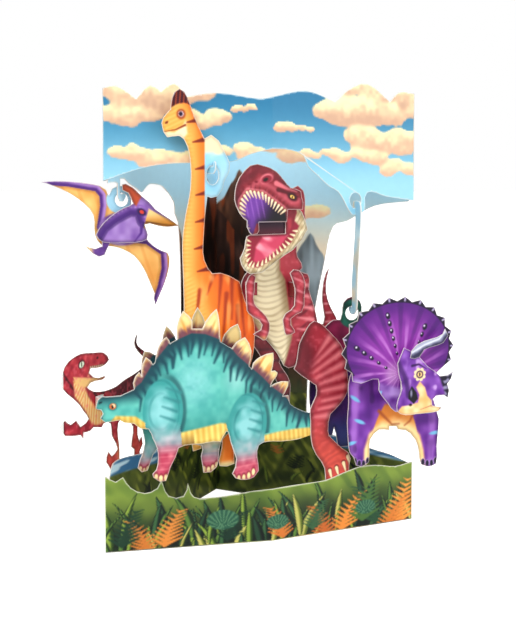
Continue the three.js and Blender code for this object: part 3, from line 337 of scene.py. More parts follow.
def printed_sheet(name, paint, pitch, back):
    """A die-cut sheet over its CAD node: each flat face is filled with points pitch mm apart inside its
    outline, and each point gets the colour that paint, or back on a face that looks backwards, gives for
    its place on the card and its distance in from the cut edge. The sheet's thickness stays bare core."""
    node = frame["nodes"][name]
    source = node.data
    points = np.empty(len(source.vertices) * 3)
    source.vertices.foreach_get("co", points)
    points = points.reshape(-1, 3) * 1000
    triangles = np.empty(len(source.polygons) * 3, int)
    source.polygons.foreach_get("vertices", triangles)
    triangles = triangles.reshape(-1, 3)
    label, normal, corner = flat_patches(points, triangles)
    sides = np.sort(corner[:, ((0, 1), (1, 2), (2, 0))], axis=2)
    keys = sides[..., 0] * len(points) * 3 + sides[..., 1]
    spans = points[triangles]
    wide = broad_faces(label, normal, keys, spans)
    all_points, all_faces, all_colours, all_slots = [], [], [], []
    count = 0
    for patch in np.unique(label):
        own = label == patch
        corners, facing = spans[own], normal[own][0]
        if not wide[own][0]:
            shape, faces = corners.reshape(-1, 3), np.arange(own.sum() * 3).reshape(-1, 3)
            colours, slot = np.ones((len(shape), 3)), 1
        else:
            level = np.array((-facing[1], facing[0]))
            origin = corners[0, 0]
            flat = np.stack([(corners[..., :2] - origin[:2]) @ level, corners[..., 2]], -1)
            places = flat[:, ((0, 1), (1, 2), (2, 0))].reshape(-1, 2, 2)
            own_keys, first, times = np.unique(keys[own].ravel(), return_index=True, return_counts=True)
            rings = places[first[times == 1]]
            side = paint if facing[1] < 0 else back
            step = PLAIN_PITCH_MM if side is plain_side else pitch
            folded = wide & ~own & (normal @ facing > -BEND_COSINE)
            fold = np.isin(own_keys[times == 1], keys[folded])
            cuts = rings[~fold]
            rings = np.concatenate([cuts] + [split_edge(edge, pitch) for edge in rings[fold]])
            spread, faces = filled_face(rings, step)
            shape = np.column_stack([origin[:2] + spread[:, :1] * level, spread[:, 1]])
            front = np.cross(shape[faces[0, 1]] - shape[faces[0, 0]], shape[faces[0, 2]] - shape[faces[0, 0]])
            if front @ facing < 0:
                faces = faces[:, ::-1]
            inset = edge_distance(spread, cuts)
            card = shape / 1000 + CARD_ORIGIN
            colours, slot = side(card[:, 0] * 1000, card[:, 2] * 1000, inset, card[:, 1] * 1000), 0
            colours = INK_MIDDLE + INK_GAIN * (colours - INK_MIDDLE)
        all_points.append(shape)
        all_faces.append(faces + count)
        all_colours.append(colours)
        all_slots.append(np.full(len(faces), slot))
        count += len(shape)
    shape, faces = np.concatenate(all_points) / 1000, np.concatenate(all_faces)
    colours, slots = np.clip(np.concatenate(all_colours), 0, 1), np.concatenate(all_slots)
    mesh = print_mesh(name + "_print", shape, faces, colours, slots)
    piece = bpy.data.objects.new(name + "_print", mesh)
    scene.collection.objects.link(piece)
    weld = piece.modifiers.new("weld", "WELD")
    weld.merge_threshold = WELD_M
    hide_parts(name)
    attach(piece, node["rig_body"])


# Ink. The print is airbrushed: soft fields of colour with a mottle, darker towards the cut edges, and a hair
# of white card showing along them. Places on a sheet are in mm, across and up.
def ramp(value, low, high):
    """0 below low, 1 above high, and a smooth S between them."""
    share = np.clip((value - low) / (high - low), 0, 1)
    return share * share * (3 - 2 * share)


def fade(value, low, high):
    """1 below low, 0 above high, and a smooth S between them."""
    return 1 - ramp(value, low, high)


def blend(under, over, share):
    """Two inks mixed by a share from 0 to 1. An ink is an sRGB hex value or a field of colours."""
    under, over = (tint(ink) if isinstance(ink, str) else np.asarray(ink) for ink in (under, over))
    share = np.asarray(share)[..., None]
    return under * (1 - share) + over * share


LATTICE = (61, 67)


def mottle(x, z, size, seed):
    """Smooth random values from 0 to 1: random numbers on a lattice, size mm apart, blended in between."""
    table = np.random.default_rng(seed).random(LATTICE)
    gx, gz = x / size + 500, z / size + 500
    ix, iz = np.floor(gx).astype(int), np.floor(gz).astype(int)
    fx, fz = ramp(gx - ix, 0, 1), ramp(gz - iz, 0, 1)

    def corner(a, b):
        return table[(ix + a) % LATTICE[0], (iz + b) % LATTICE[1]]

    low = corner(0, 0) * (1 - fx) + corner(1, 0) * fx
    high = corner(0, 1) * (1 - fx) + corner(1, 1) * fx
    return low * (1 - fz) + high * fz


def flecks(x, z, size, seed, low, high):
    """Soft flecks: 1 where the mottle is above high, and 0 where it is below low."""
    return ramp(mottle(x, z, size, seed), low, high)


def plain_side(x, z, inset, y):
    """The unprinted side of the board: warm white, a little mottled."""
    grey = 0.94 + 0.03 * mottle(x, z, 6, 3)
    return grey[:, None] * (1, 0.99, 0.965)


def follow(x, z, line):
    """Each point's distance along a line of points and its distance from it, positive on the line's left."""
    best = np.full(x.shape, 1e9)
    reach, side = np.zeros(x.shape), np.zeros(x.shape)
    run = 0.0
    for (ax, az), (bx, bz) in zip(line[:-1], line[1:]):
        length = math.hypot(bx - ax, bz - az)
        dx, dz = (bx - ax) / length, (bz - az) / length
        t = np.clip((x - ax) * dx + (z - az) * dz, 0, length)
        off = np.hypot(x - ax - t * dx, z - az - t * dz)
        turn = dx * (z - az) - dz * (x - ax)
        closer = off < best
        best = np.where(closer, off, best)
        reach = np.where(closer, run + t, reach)
        side = np.where(closer, np.where(turn > 0, off, -off), side)
        run += length
    return reach, side


def oval(x, z, cx, cz, rx, rz, turn=0.0):
    """0 at an oval's centre, 1 on its rim, and more outside it."""
    c, s = math.cos(turn), math.sin(turn)
    return np.hypot(((x - cx) * c + (z - cz) * s) / rx, ((z - cz) * c - (x - cx) * s) / rz)


class Print:
    """The print on one face: a colour at each of its points, worked up in layers of ink."""

    def __init__(self, x, z, ground):
        self.x, self.z, self.colour = x, z, ground

    def wash(self, ink, share):
        """Ink over the whole face, by a share from 0 to 1 at each point."""
        self.colour = blend(self.colour, ink, share)

    def spot(self, place, size, ink, soft=0.25, turn=0.0):
        """A soft-edged oval of ink."""
        self.wash(ink, fade(oval(self.x, self.z, *place, *size, turn), 1 - soft, 1 + soft))

    def field(self, outline, ink, soft=0.5):
        """A soft-edged polygon of ink."""
        points = np.column_stack([self.x, self.z])
        ring = np.array([(outline[i], outline[(i + 1) % len(outline)]) for i in range(len(outline))], float)
        distance = edge_distance(points, ring) * np.where(inside(points, ring), 1, -1)
        self.wash(ink, ramp(distance, -soft, soft))

    def stroke(self, line, width, ink, soft=0.3):
        """A drawn line of ink that thins towards its far end."""
        length = sum(math.dist(a, b) for a, b in zip(line[:-1], line[1:]))
        reach, side = follow(self.x, self.z, line)
        half = width / 2 * (1 - 0.75 * reach / length)
        self.wash(ink, fade(abs(side) - half, -soft, soft))

    def teeth(self, line, towards, count, length):
        """Tapered strokes along a line, each leaning towards one point."""
        reach = [0.0]
        for a, b in zip(line[:-1], line[1:]):
            reach.append(reach[-1] + math.dist(a, b))
        for at in np.linspace(0, reach[-1], count):
            px, pz = (np.interp(at, reach, [p[i] for p in line]) for i in (0, 1))
            lean = math.dist(towards, (px, pz))
            tip = (px + (towards[0] - px) / lean * length, pz + (towards[1] - pz) / lean * length)
            self.stroke([(px, pz), tip], 1.5, "#8c4a3a", 0.35)
            self.stroke([(px, pz), tip], 1.15, "#f6e3bd", 0.25)

    def rimmed(self, inset, board, share=0.7, width=0.5):
        """The finished colours, with the white board just showing along the cut edge."""
        self.wash(board, share * fade(inset, 0, width))
        return self.colour

    def cut(self, inset, shade=0.3, depth=2.5):
        """The finished colours, darker towards the cut edge, with the white core just showing along it."""
        self.colour = self.colour * (1 - shade * fade(inset, 0, depth))[:, None]
        return self.rimmed(inset, "#f2e9e2", 0.7, 0.4)


# Front sky band: one sheet printed as a summer sky, blue above and paler below, with banks of cream cloud.
CLOUDS = [
    (-74, 216, 15), (-58, 212, 14), (-43, 215, 12), (-70, 203, 10), (-64, 187, 7), (-33, 203, 9),
    (-46, 183, 10), (-14, 187, 8), (12, 199, 6), (26, 187, 6), (40, 208, 10), (55, 208, 16), (72, 209, 15),
    (62, 196, 13), (77, 193, 11), (48, 185, 9), (70, 180, 8), (-14, 208, 4), (-46, 220, 8), (52, 219, 10),
    (64, 218, 9), (76, 217, 10),
]


def clouds(art, banks, seed):
    """Cloud banks: rows of round puffs that run together, their rims shaken by a mottle, lit from above."""
    x, z, rng = art.x, art.z, np.random.default_rng(seed)
    fine = 0.6 * mottle(x, z, 4.5, seed) + 0.4 * mottle(x, z, 1.8, seed + 1)
    thick, height = np.zeros(x.shape), np.zeros(x.shape)
    for cx, cz, size in banks:
        for _ in range(9):
            ox = rng.uniform(-1.5, 1.5) * size
            oz = rng.uniform(-0.3, 0.42) * size * (1.2 - abs(ox) / size / 1.5)
            reach = size * rng.uniform(0.3, 0.5)
            weight = np.exp(-1.6 * oval(x, z, cx + ox, cz + oz, reach * 1.3, reach * 0.85) ** 2)
            thick += weight
            height += weight * np.clip((z - cz - oz) / reach + 0.5 * oz / size, -1.5, 1.5)
    lit = ramp(height / np.maximum(thick, 1e-6) + 0.9 * (fine - 0.5), -0.75, 0.7)
    puff = blend("#e8ab84", "#fbe7b8", lit)
    art.wash(puff, ramp(thick + 0.5 * (fine - 0.5), 0.34, 0.52) * (0.82 + 0.18 * lit))


def paint_sky(x, z, inset, y):
    art = Print(x, z, blend("#99cde1", "#347a9f", ramp(z, 168, 216)))
    art.wash("#2b6f97", 0.7 * flecks(x, z, 26, 5, 0.4, 0.9) * ramp(z, 186, 212))
    clouds(art, CLOUDS, 11)
    return art.rimmed(inset, "#eef4f2")


printed_sheet("front_sky", paint_sky, 0.8, plain_side)


# Front ground band: one sheet printed as undergrowth, with leaf tips cut out along its upper edge.
GREENS = [
    ("#8aa244", "#31491f"), ("#5d7f3c", "#1d3222"), ("#c0bb68", "#5f6c2c"), ("#3f6641", "#14281f"),
    ("#2a4a36", "#0f1f1b"),
]


def leaf(art, foot, lean, length, width, ink, dark):
    """A curved blade: a stroke bent sideways by the square of its height, darker along one side."""
    up = np.clip((art.z - foot[1]) / length, 0, 1)
    off = art.x - foot[0] - lean * up * up
    half = width / 2 * np.sin(math.pi * (0.12 + 0.88 * up)) ** 0.8
    on = (art.z > foot[1]) & (art.z < foot[1] + length)
    tone = blend(ink, dark, ramp(off / np.maximum(half, 0.1), -0.2, 0.6))
    art.wash(tone, fade(abs(off) - half, -0.35, 0.35) * on)


def fern(art, foot, lean, length, pairs, ink):
    """A frond: leaflets in pairs, shorter towards the tip, on a bent stem."""
    near = (abs(art.x - foot[0] - lean / 2) < abs(lean) + length) & (art.z < foot[1] + length + 4)
    part = Print(art.x[near], art.z[near], art.colour[near])
    for k in range(pairs):
        up = (k + 1) / (pairs + 1)
        sx, sz = foot[0] + lean * up * up, foot[1] + length * up
        reach = length * 0.34 * (1 - up) ** 0.6 + 1.2
        for way in (-1, 1):
            tip = (sx + way * reach + lean * 0.15, sz + reach * 0.45)
            part.stroke([(sx, sz), tip], max(1.0, reach * 0.3), ink, 0.35)
    art.colour[near] = part.colour


def paint_ground(x, z, inset, y):
    rng = np.random.default_rng(21)
    art = Print(x, z, blend("#18251d", "#7f9541", ramp(z + 5 * mottle(x, z, 6, 2), 7, 31)))
    art.wash("#3c5a2c", 0.35 * flecks(x + 0.7 * z, z * 0.6, 4.5, 3, 0.4, 0.95))
    for level in range(3):
        for _ in range(34):
            foot = (rng.uniform(-82, 82), rng.uniform(-6, 8) - 3 * level)
            lean, tall = rng.uniform(-13, 13), rng.uniform(12, 25)
            ink, dark = GREENS[rng.integers(5)]
            width = rng.uniform(1.4, 4.2)
            leaf(art, foot, lean, tall, width + 0.8, "#121d19", "#121d19")
            leaf(art, foot, lean, tall, width, ink, dark)
    for foot, lean, tall, ink in (
        ((-52, 0), 9, 19, "#d98a42"), ((-60, -2), -9, 17, "#c87a38"), ((-22, 1), 9, 15, "#1c3a2d"),
        ((6, 0), -8, 17, "#cf7a39"), ((38, -1), 13, 20, "#e08d40"), ((30, -3), -9, 18, "#c26a33"),
        ((58, 0), -12, 22, "#2c5138"), ((72, -2), 6, 25, "#e59646"), ((64, -4), 14, 19, "#d07d38"),
        ((-72, 1), 8, 19, "#20402f"), ((22, 2), 7, 15, "#3c6142"), ((50, 2), 8, 23, "#4d6f3a"),
    ):
        fern(art, foot, lean, tall, 9, ink)
    for cx, cz, size in ((-24, 12, 8), (3, 9, 6), (52, 10, 6)):
        near = oval(x, z, cx, cz, size, size * 0.62)
        veins = np.sin(np.arctan2(z - cz + size * 0.5, x - cx) * 22)
        tone = blend("#2f5a48", "#6d9a72", ramp(veins, -0.6, 1) * 0.6)
        art.wash(tone, fade(near, 0.9, 1.02))
    return art.rimmed(inset, "#f0eee4")


printed_sheet("front_ground", paint_ground, 0.65, plain_side)


# Rear sheet: one sheet folded behind the figures, printed inside with sky, plain hills, water and grass. Its
# outer side is bare board.
FOLD_BEHIND_MM = 86
PANEL_SQUEEZE = 0.74
HILLS = [
    (44, 142, 32, "#8b99a0"), (-36, 150, 40, "#7a7468"), (12, 177, 34, "#6b4a3a"), (-9, 173, 44, "#4b3630"),
]


def paint_rear(x, z, inset, y):
    across = np.sign(x) * np.hypot(x, y - FOLD_BEHIND_MM) * PANEL_SQUEEZE
    art = Print(across, z, blend("#ffd9ac", "#b3dcee", ramp(z, 118, 172)))
    clouds(art, [(-60, 196, 12), (-20, 200, 12), (20, 196, 13), (52, 188, 12), (36, 158, 9)], 31)
    for cx, top, half, ink in HILLS:
        height = top - 1.6 * abs(across - cx) ** 1.12 * 30 / half + 5 * mottle(across, z, 5, int(top))
        streak = mottle(across, z * 0.18, 1.6, int(top) + 1)
        tone = blend(tint(ink) * 0.5, tint(ink) * 1.3, streak * 0.7 + 0.3 * mottle(across, z, 9, 4))
        rust = 0.5 * ramp(mottle(across, z * 0.12, 2.2, int(top) + 2), 0.66, 0.8) * (cx < 20)
        tone = blend(tone, "#b8552c", rust)
        tone = tone * (1 - 0.55 * ramp(height - z, 8, 34) * (-20 < cx < 20))[:, None]
        art.wash(tone, ramp(height - z, -0.8, 0.8))
    haze = blend("#3f4a34", "#6f7d45", mottle(across, z, 6, 8))
    art.wash(haze, fade(z + 4 * mottle(across, z, 8, 9), 58, 84))
    bank = 41 + 3 * np.sin(across / 19)
    water = blend("#4479a3", "#c4e2ee", flecks(across * 0.25, z, 1.7, 12, 0.35, 0.8))
    art.wash(water, ramp(z, bank - 9, bank - 8) * fade(z, bank + 5, bank + 6))
    blades = flecks(across + 0.5 * z, z * 0.3, 1.7, 14, 0.35, 0.9)
    grass = Print(across, z, blend("#39461f", "#a3ab4c", 0.25 + 0.75 * blades * mottle(across, z, 7, 15)))
    grass.wash("#1c2a18", 0.6 * flecks(across - 0.4 * z, z * 0.5, 3.4, 16, 0.5, 0.9))
    rng = np.random.default_rng(33)
    for _ in range(46):
        foot, lean = (rng.uniform(-60, 80), rng.uniform(2, 30)), rng.uniform(-6, 6)
        ink, dark = (("#26361c", "#0f1a12"), ("#74883a", "#33441f"), ("#1d2d1c", "#0d1510"))[rng.integers(3)]
        leaf(grass, foot, lean, rng.uniform(5, 10), rng.uniform(1.0, 2.2), ink, dark)
    for foot in ((-38, 22), (-21, 12), (-12, 27), (9, 20), (22, 28), (37, 17), (52, 24)):
        fern(grass, foot, 3, 9, 6, "#16241a")
    for foot in ((-27, 30), (16, 33), (30, 24)):
        fern(grass, foot, -2, 6, 3, "#b8703a")
    meadow = 1 - ramp(z, bank - 10, bank - 8) * (abs(across - 6) >= 44)
    art.wash(grass.colour, meadow * (z < 60))
    return art.rimmed(inset, "#eeebe2")


printed_sheet("rear_sheet", paint_rear, 0.75, plain_side)


# Small runner: one sheet glued to the rear sheet's left edge, outside the frame, crimson above with a peach
# throat and belly.
SIDE_FOLD_X = -79


def paint_runner(x, z, inset, y):
    along = np.hypot(x - SIDE_FOLD_X, y) * np.sign(x - SIDE_FOLD_X - 1e-6)
    spine = [(-8, 93), (-24, 94), (-32, 89), (-30, 80), (-19, 70), (-6, 68), (12, 68), (26, 70)]
    reach, side = follow(along, z, spine)
    art = Print(along, z, blend("#8f1c31", "#cf4a50", mottle(along, z, 2.6, 41)))
    art.wash("#3d0f20", 0.75 * ramp(along, -2, 16) * ramp(z, 62, 70) * (along < 40))
    for k in range(9):
        top = (-33.5 + 3.2 * k, 90 - 3.4 * k) if k < 5 else (-14 + 6 * (k - 5), 76.5)
        art.stroke([top, (top[0] + 4, top[1] - 3.6)], 1.5, "#4e1020", 0.5)
    throat = [(-18, 84), (-25, 85), (-24, 78), (-17, 71), (-10.5, 63), (-7, 61.4), (2, 61), (1, 66), (-6, 69),
              (-13, 76)]
    art.field(throat, blend("#e3a05c", "#f9d79c", 0.5 + 0.5 * np.sin(reach * 3.1)), 0.9)
    lip = [(-25, 86.6), (-14, 84.6), (-5, 83.2), (1, 82.4), (-9, 81), (-15, 80.4), (-22, 82)]
    art.field(lip, "#f0c27e")
    art.field([(-14, 85), (-11.4, 88), (-12, 84.6)], "#e58f78", 0.4)
    art.wash("#d96a4c", 0.5 * fade(z, 48, 58))
    art.wash("#f0b07c", 0.6 * ramp(along, 10.4, 12.6) * fade(along, 13.2, 15) * fade(z, 50, 60))
    art.wash("#2a1018", 0.8 * fade(abs(z - 66), 0, 12) * fade(along, -33.5, -30.5))
    art.wash("#e0707a", 0.45 * flecks(along, z, 1.5, 43, 0.6, 0.95))
    art.teeth([(-1.6, 88.2), (-5, 88.4), (-11, 88.8)], (-7, 80), 7, 1.6)
    art.spot((-18.4, 91.4), (2.6, 1.9), "#4e1020", 0.25, 0.25)
    art.spot((-18.2, 91.2), (2.0, 1.35), "#dcebd0", 0.2, 0.25)
    art.spot((-18.2, 91.2), (0.45, 1.2), "#16161a", 0.3)
    art.spot((-5.4, 92.4), (0.9, 0.6), "#4e1020", 0.4)
    return art.cut(inset, 0.3, 1.6)


printed_sheet("runner", paint_runner, 0.5, plain_side)


# The hunter: nine printed sheets, crimson with a cream chest, set one behind another on card spacers that are
# glued between them.
def hide_crimson(x, z, seed):
    colour = blend("#86202f", "#bd4450", mottle(x, z, 5, seed))
    return blend(colour, "#d9707a", 0.35 * flecks(x, z, 1.6, seed + 1, 0.55, 0.95))


THIGH_RIMS = [(33, 99), (37, 94.5), (39.8, 89.8), (41.4, 84.2), (42.2, 78.2), (42.4, 72), (40, 66.5),
              (36, 62.2), (32.6, 58)]
THIGH_INNER = [(23, 86), (22, 83), (22.5, 80), (24, 77), (26, 74), (27.5, 70.5), (27.5, 65.5), (25.5, 61.5),
               (23.5, 58)]


def paint_leg(x, z, inset, y):
    spine = [(25, 104), (31, 88), (32, 73), (27, 58), (27, 46), (33, 35), (37, 20)]
    reach, side = follow(x, z, spine)
    art = Print(x, z, hide_crimson(x, z, 51))
    art.wash("#e0604a", 0.75 * fade(z, 36, 62))
    for rim, end in zip(THIGH_RIMS, THIGH_INNER):
        art.stroke([(rim[0] + 0.5, rim[1] + 2.6), (end[0], end[1] + 2.0)], 1.4, "#8f2334", 1.3)
        art.stroke([rim, end], 3.4, "#d97b80", 1.6)
    rings = 0.5 + 0.5 * np.sin(reach * 2 * math.pi / 3.4 + 4 * mottle(x, z, 4, 52))
    art.wash("#a63a38", 0.4 * rings * fade(z, 50, 60))
    art.wash("#4a0f1e", 0.7 * ramp(side, 4, 11) * ramp(z, 60, 74) * (x < 26))
    art.wash("#4a0f1e", 0.55 * fade(oval(x, z, 17, 88, 9, 15), 0.3, 1))
    for cx, cz in ((32.4, 28.6), (36.2, 29.6), (40.2, 31.6), (42.6, 34.6)):
        art.stroke([(cx - 0.6, cz + 2.2), (cx + 0.9, cz - 3.2)], 2.6, "#7a2024")
        art.stroke([(cx - 0.6, cz + 1.8), (cx + 0.9, cz - 3.2)], 1.9, "#f6dfb0")
    return art.cut(inset, 0.3, 3)


def paint_torso(x, z, inset, y):
    spine = [(13, 172), (11, 158), (6, 142), (3.5, 128), (4, 112), (7, 98), (10, 84)]
    reach, side = follow(x, z, spine)
    art = Print(x, z, hide_crimson(x, z, 61))
    bands = ramp(np.sin(2 * math.pi * (reach + 0.5 * side) / 8 + 5 * mottle(reach, side, 6.4, 62)), 0.3, 1)
    art.wash("#5f1526", 0.6 * bands * ramp(abs(side), 7, 10))
    levels = (84, 90, 97, 102, 107, 112, 126, 131, 140, 150, 160)
    left = np.interp(z, levels, (5, 1.5, -2.5, -6.5, -9.5, -12.4, -12.6, -7, -4.5, 0, 4))
    right = np.interp(z, levels, (7, 9, 11, 11.5, 10.5, 9.6, 7.5, 4.6, 4.6, 5, 8))
    middle, half = (left + right) / 2, (right - left) / 2
    bow = z - 4.5 * ((x - middle) / half) ** 2 - 1.6 * mottle(x, z, 6, 64)
    crease = ramp(np.sin(bow * 2 * math.pi / 2.7), -0.2, 0.9) * (0.45 + 0.55 * mottle(x, z, 4.5, 65))
    cream = blend("#ddd1b0", "#96805c", 0.5 * crease)
    cream = blend(cream, "#8a7352", 0.75 * ramp(abs(x - middle) / half, 0.45, 1.0))
    share = ramp(x - left, -0.8, 0.8) * fade(x - right, -0.8, 0.8)
    for height in (95, 100.5, 106, 111.5, 117, 122.5):
        art.stroke([(22.5, height), (14, height + 1.5)], 2.2, "#e0858c", 0.8)
    art.wash(cream, share)
    art.wash("#4a1520", 0.5 * fade(z, 84, 98) * (1 - share))
    return art.cut(inset, 0.28, 2)


def paint_limb(x, z, inset, y):
    art = Print(x, z, hide_crimson(x, z, 71))
    art.wash("#e29aa0", 0.5 * ramp(np.sin(z * 2 * math.pi / 5.2 + x / 2), 0.55, 0.95))
    art.wash("#edb378", 0.8 * fade(z, 99.6, 101.4))
    return art.cut(inset, 0.35, 2)


def paint_far_leg(x, z, inset, y):
    art = Print(x, z, hide_crimson(x, z, 81) * 0.72)
    art.wash("#3a0d1c", 0.5 * ramp(np.sin(z * 1.1), 0.3, 1))
    return art.cut(inset, 0.3, 3)


def paint_tail(x, z, inset, y):
    art = Print(x, z, hide_crimson(x, z, 86))
    art.wash("#efa9ac", 0.65 * ramp(np.sin(z * 2 * math.pi / 4.6), 0.5, 0.95) * (x < 41))
    return art.cut(inset, 0.3, 1.6)


def paint_mouth(x, z, inset, y):
    return blend("#54182a", "#2a0d2c", ramp(z, 148, 156))


def paint_skull(x, z, inset, y):
    art = Print(x, z, hide_crimson(x, z, 91) * 0.88)
    side = follow(x, z, [(-23, 162), (-21, 172.5), (-12, 178.6), (-2, 174), (6, 168)])[1]
    art.wash("#5c1122", 0.55 * fade(abs(side), 0.3, 2.6))
    art.wash("#dd7480", 0.5 * fade(abs(side + 4.5), 0, 2.4))
    for k in range(8):
        art.spot((-20 + 3.4 * k, 168 + 5.5 * math.sin(0.5 + 0.36 * k)), (0.9, 0.6), "#7a1a2c", 0.6)
    gape = [(-19.4, 150.6), (-21.4, 157), (-20.6, 164.6), (-17.4, 168.8), (-10.2, 167.8), (-3.6, 163.4),
            (1.6, 159.8), (2.4, 154), (-13, 154), (-14.8, 149)]
    inner = blend("#16071a", "#6f3d98", ramp(-x + 0.5 * (z - 158), 2, 16))
    sheen = 0.45 * ramp(np.sin(x * 2.3 + z * 0.5), 0.3, 1) * (x < -8) * ramp(z, 154, 160)
    inner = blend(inner, "#a873c4", sheen)
    art.field(gape, inner, 0.4)
    arch = [(-19.6, 151.5), (-21.6, 157.4), (-20.8, 164.6), (-17.4, 169), (-10, 168), (-3.4, 163.6),
            (1.6, 160)]
    gum, over = follow(x, z, arch)
    creases = 0.6 * (over > 0) * fade(over, 0.8, 4.5) * ramp(np.sin(gum * 2 * math.pi / 2.2), 0, 0.9)
    art.wash("#5a1122", creases)
    art.wash("#e08a90", 0.6 * (over > 0) * fade(abs(over - 1.0), 0.1, 0.9))
    art.teeth(arch, (-8, 153), 21, 3.1)
    art.spot((-7.8, 174.8), (3.2, 2.1), "#e08088", 0.3, 0.3)
    art.spot((-7.8, 174.4), (2.7, 1.7), "#8a2136", 0.25, 0.3)
    art.spot((-8.4, 174.2), (1.3, 0.8), "#2c0a14", 0.3, 0.4)
    art.stroke([(-3, 172.5), (3, 170), (7.6, 168.6)], 2.4, "#d8727c", 0.5)
    art.stroke([(-2, 169.5), (3, 168), (8.2, 166.2)], 2.0, "#5a1020", 0.5)
    art.spot((5.4, 166.2), (2.7, 1.7), "#3a0a18", 0.35, -0.5)
    art.spot((5.3, 166.2), (1.2, 0.75), "#f2c66a", 0.2, -0.5)
    art.spot((5.3, 166.2), (0.4, 0.6), "#120a0c", 0.3)
    return art.cut(inset, 0.3, 2.6)


def paint_jaw(x, z, inset, y):
    cream = blend("#a88f66", "#e9dfc0", mottle(x, z, 2.2, 95))
    art = Print(x, z, blend(cream, "#7d6746", 0.45 * ramp(np.sin(3 * x - 2 * z), 0.4, 1)))
    gum = [(-16.4, 134.4), (-17, 149), (3, 149), (6.5, 156), (10, 152.5), (6, 145), (0, 140.4), (-6, 136.2),
           (-11.5, 133.4)]
    art.field(gum, "#8d2038", 0.6)
    tongue = blend("#c2415e", "#f09aa6", flecks(x + z, z, 4, 96, 0.3, 0.8))
    bed = [(-13.6, 136.6), (-12.4, 143), (-9, 147.6), (4, 148.2), (0, 142.4), (-6.4, 138), (-11.6, 135.6)]
    art.field(bed, tongue, 0.8)
    art.teeth([(-17, 146.5), (-17.4, 138), (-15.6, 134.6)], (-10, 143), 6, 2.2)
    art.teeth([(-14, 133.9), (-9, 134.8), (-2, 139.1), (4.6, 144), (8.8, 150)], (-6, 152), 13, 2.2)
    cheek = blend("#6a1628", "#b23a48", mottle(x, z, 2.5, 97))
    art.field([(0, 148.4), (0, 163), (8.4, 163), (8.8, 158.6), (6.8, 153), (4.6, 149.6)], cheek, 0.4)
    return art.cut(inset, 0.3, 1.8)


for part_name, paint in (
    ("near_leg", paint_leg), ("torso", paint_torso), ("far_leg", paint_far_leg), ("left_arm", paint_limb),
    ("right_arm", paint_limb), ("tail", paint_tail), ("mouth_plate", paint_mouth), ("skull", paint_skull),
    ("jaw", paint_jaw),
):
    printed_sheet("hunter_" + part_name, paint, 0.45, plain_side)


# The plated dinosaur: two printed sheets on two spacers, turquoise with a yellow belly, pink feet and tan
# back plates.
BACK = [(-84, 79), (-77, 79.6), (-70.5, 80), (-66.5, 83), (-61.5, 91), (-54, 99.6), (-50.5, 101),
        (-44, 103.6), (-38, 103), (-30.5, 100), (-25.8, 96.4), (-22, 92), (-14.7, 86), (-8, 80.4), (-2.5, 75),
        (4.6, 70), (9.2, 65.5), (16, 61.5), (24, 60)]


FOLD_GAP_MM = 3.7
NEAR_NAILS = [(-60.8, 40.6), (-58.6, 39.8), (-56.2, 40), (-23.4, 36.4), (-20.6, 35.5), (-17.8, 35.4),
              (-15, 35.9), (-12.4, 37.2)]
FAR_NAILS = [(-66.3, 42.6), (-64.3, 41.6), (-62.6, 42.4), (-36.3, 40.2), (-34, 39.6), (-31.8, 40.4),
             (-29.9, 41.6)]


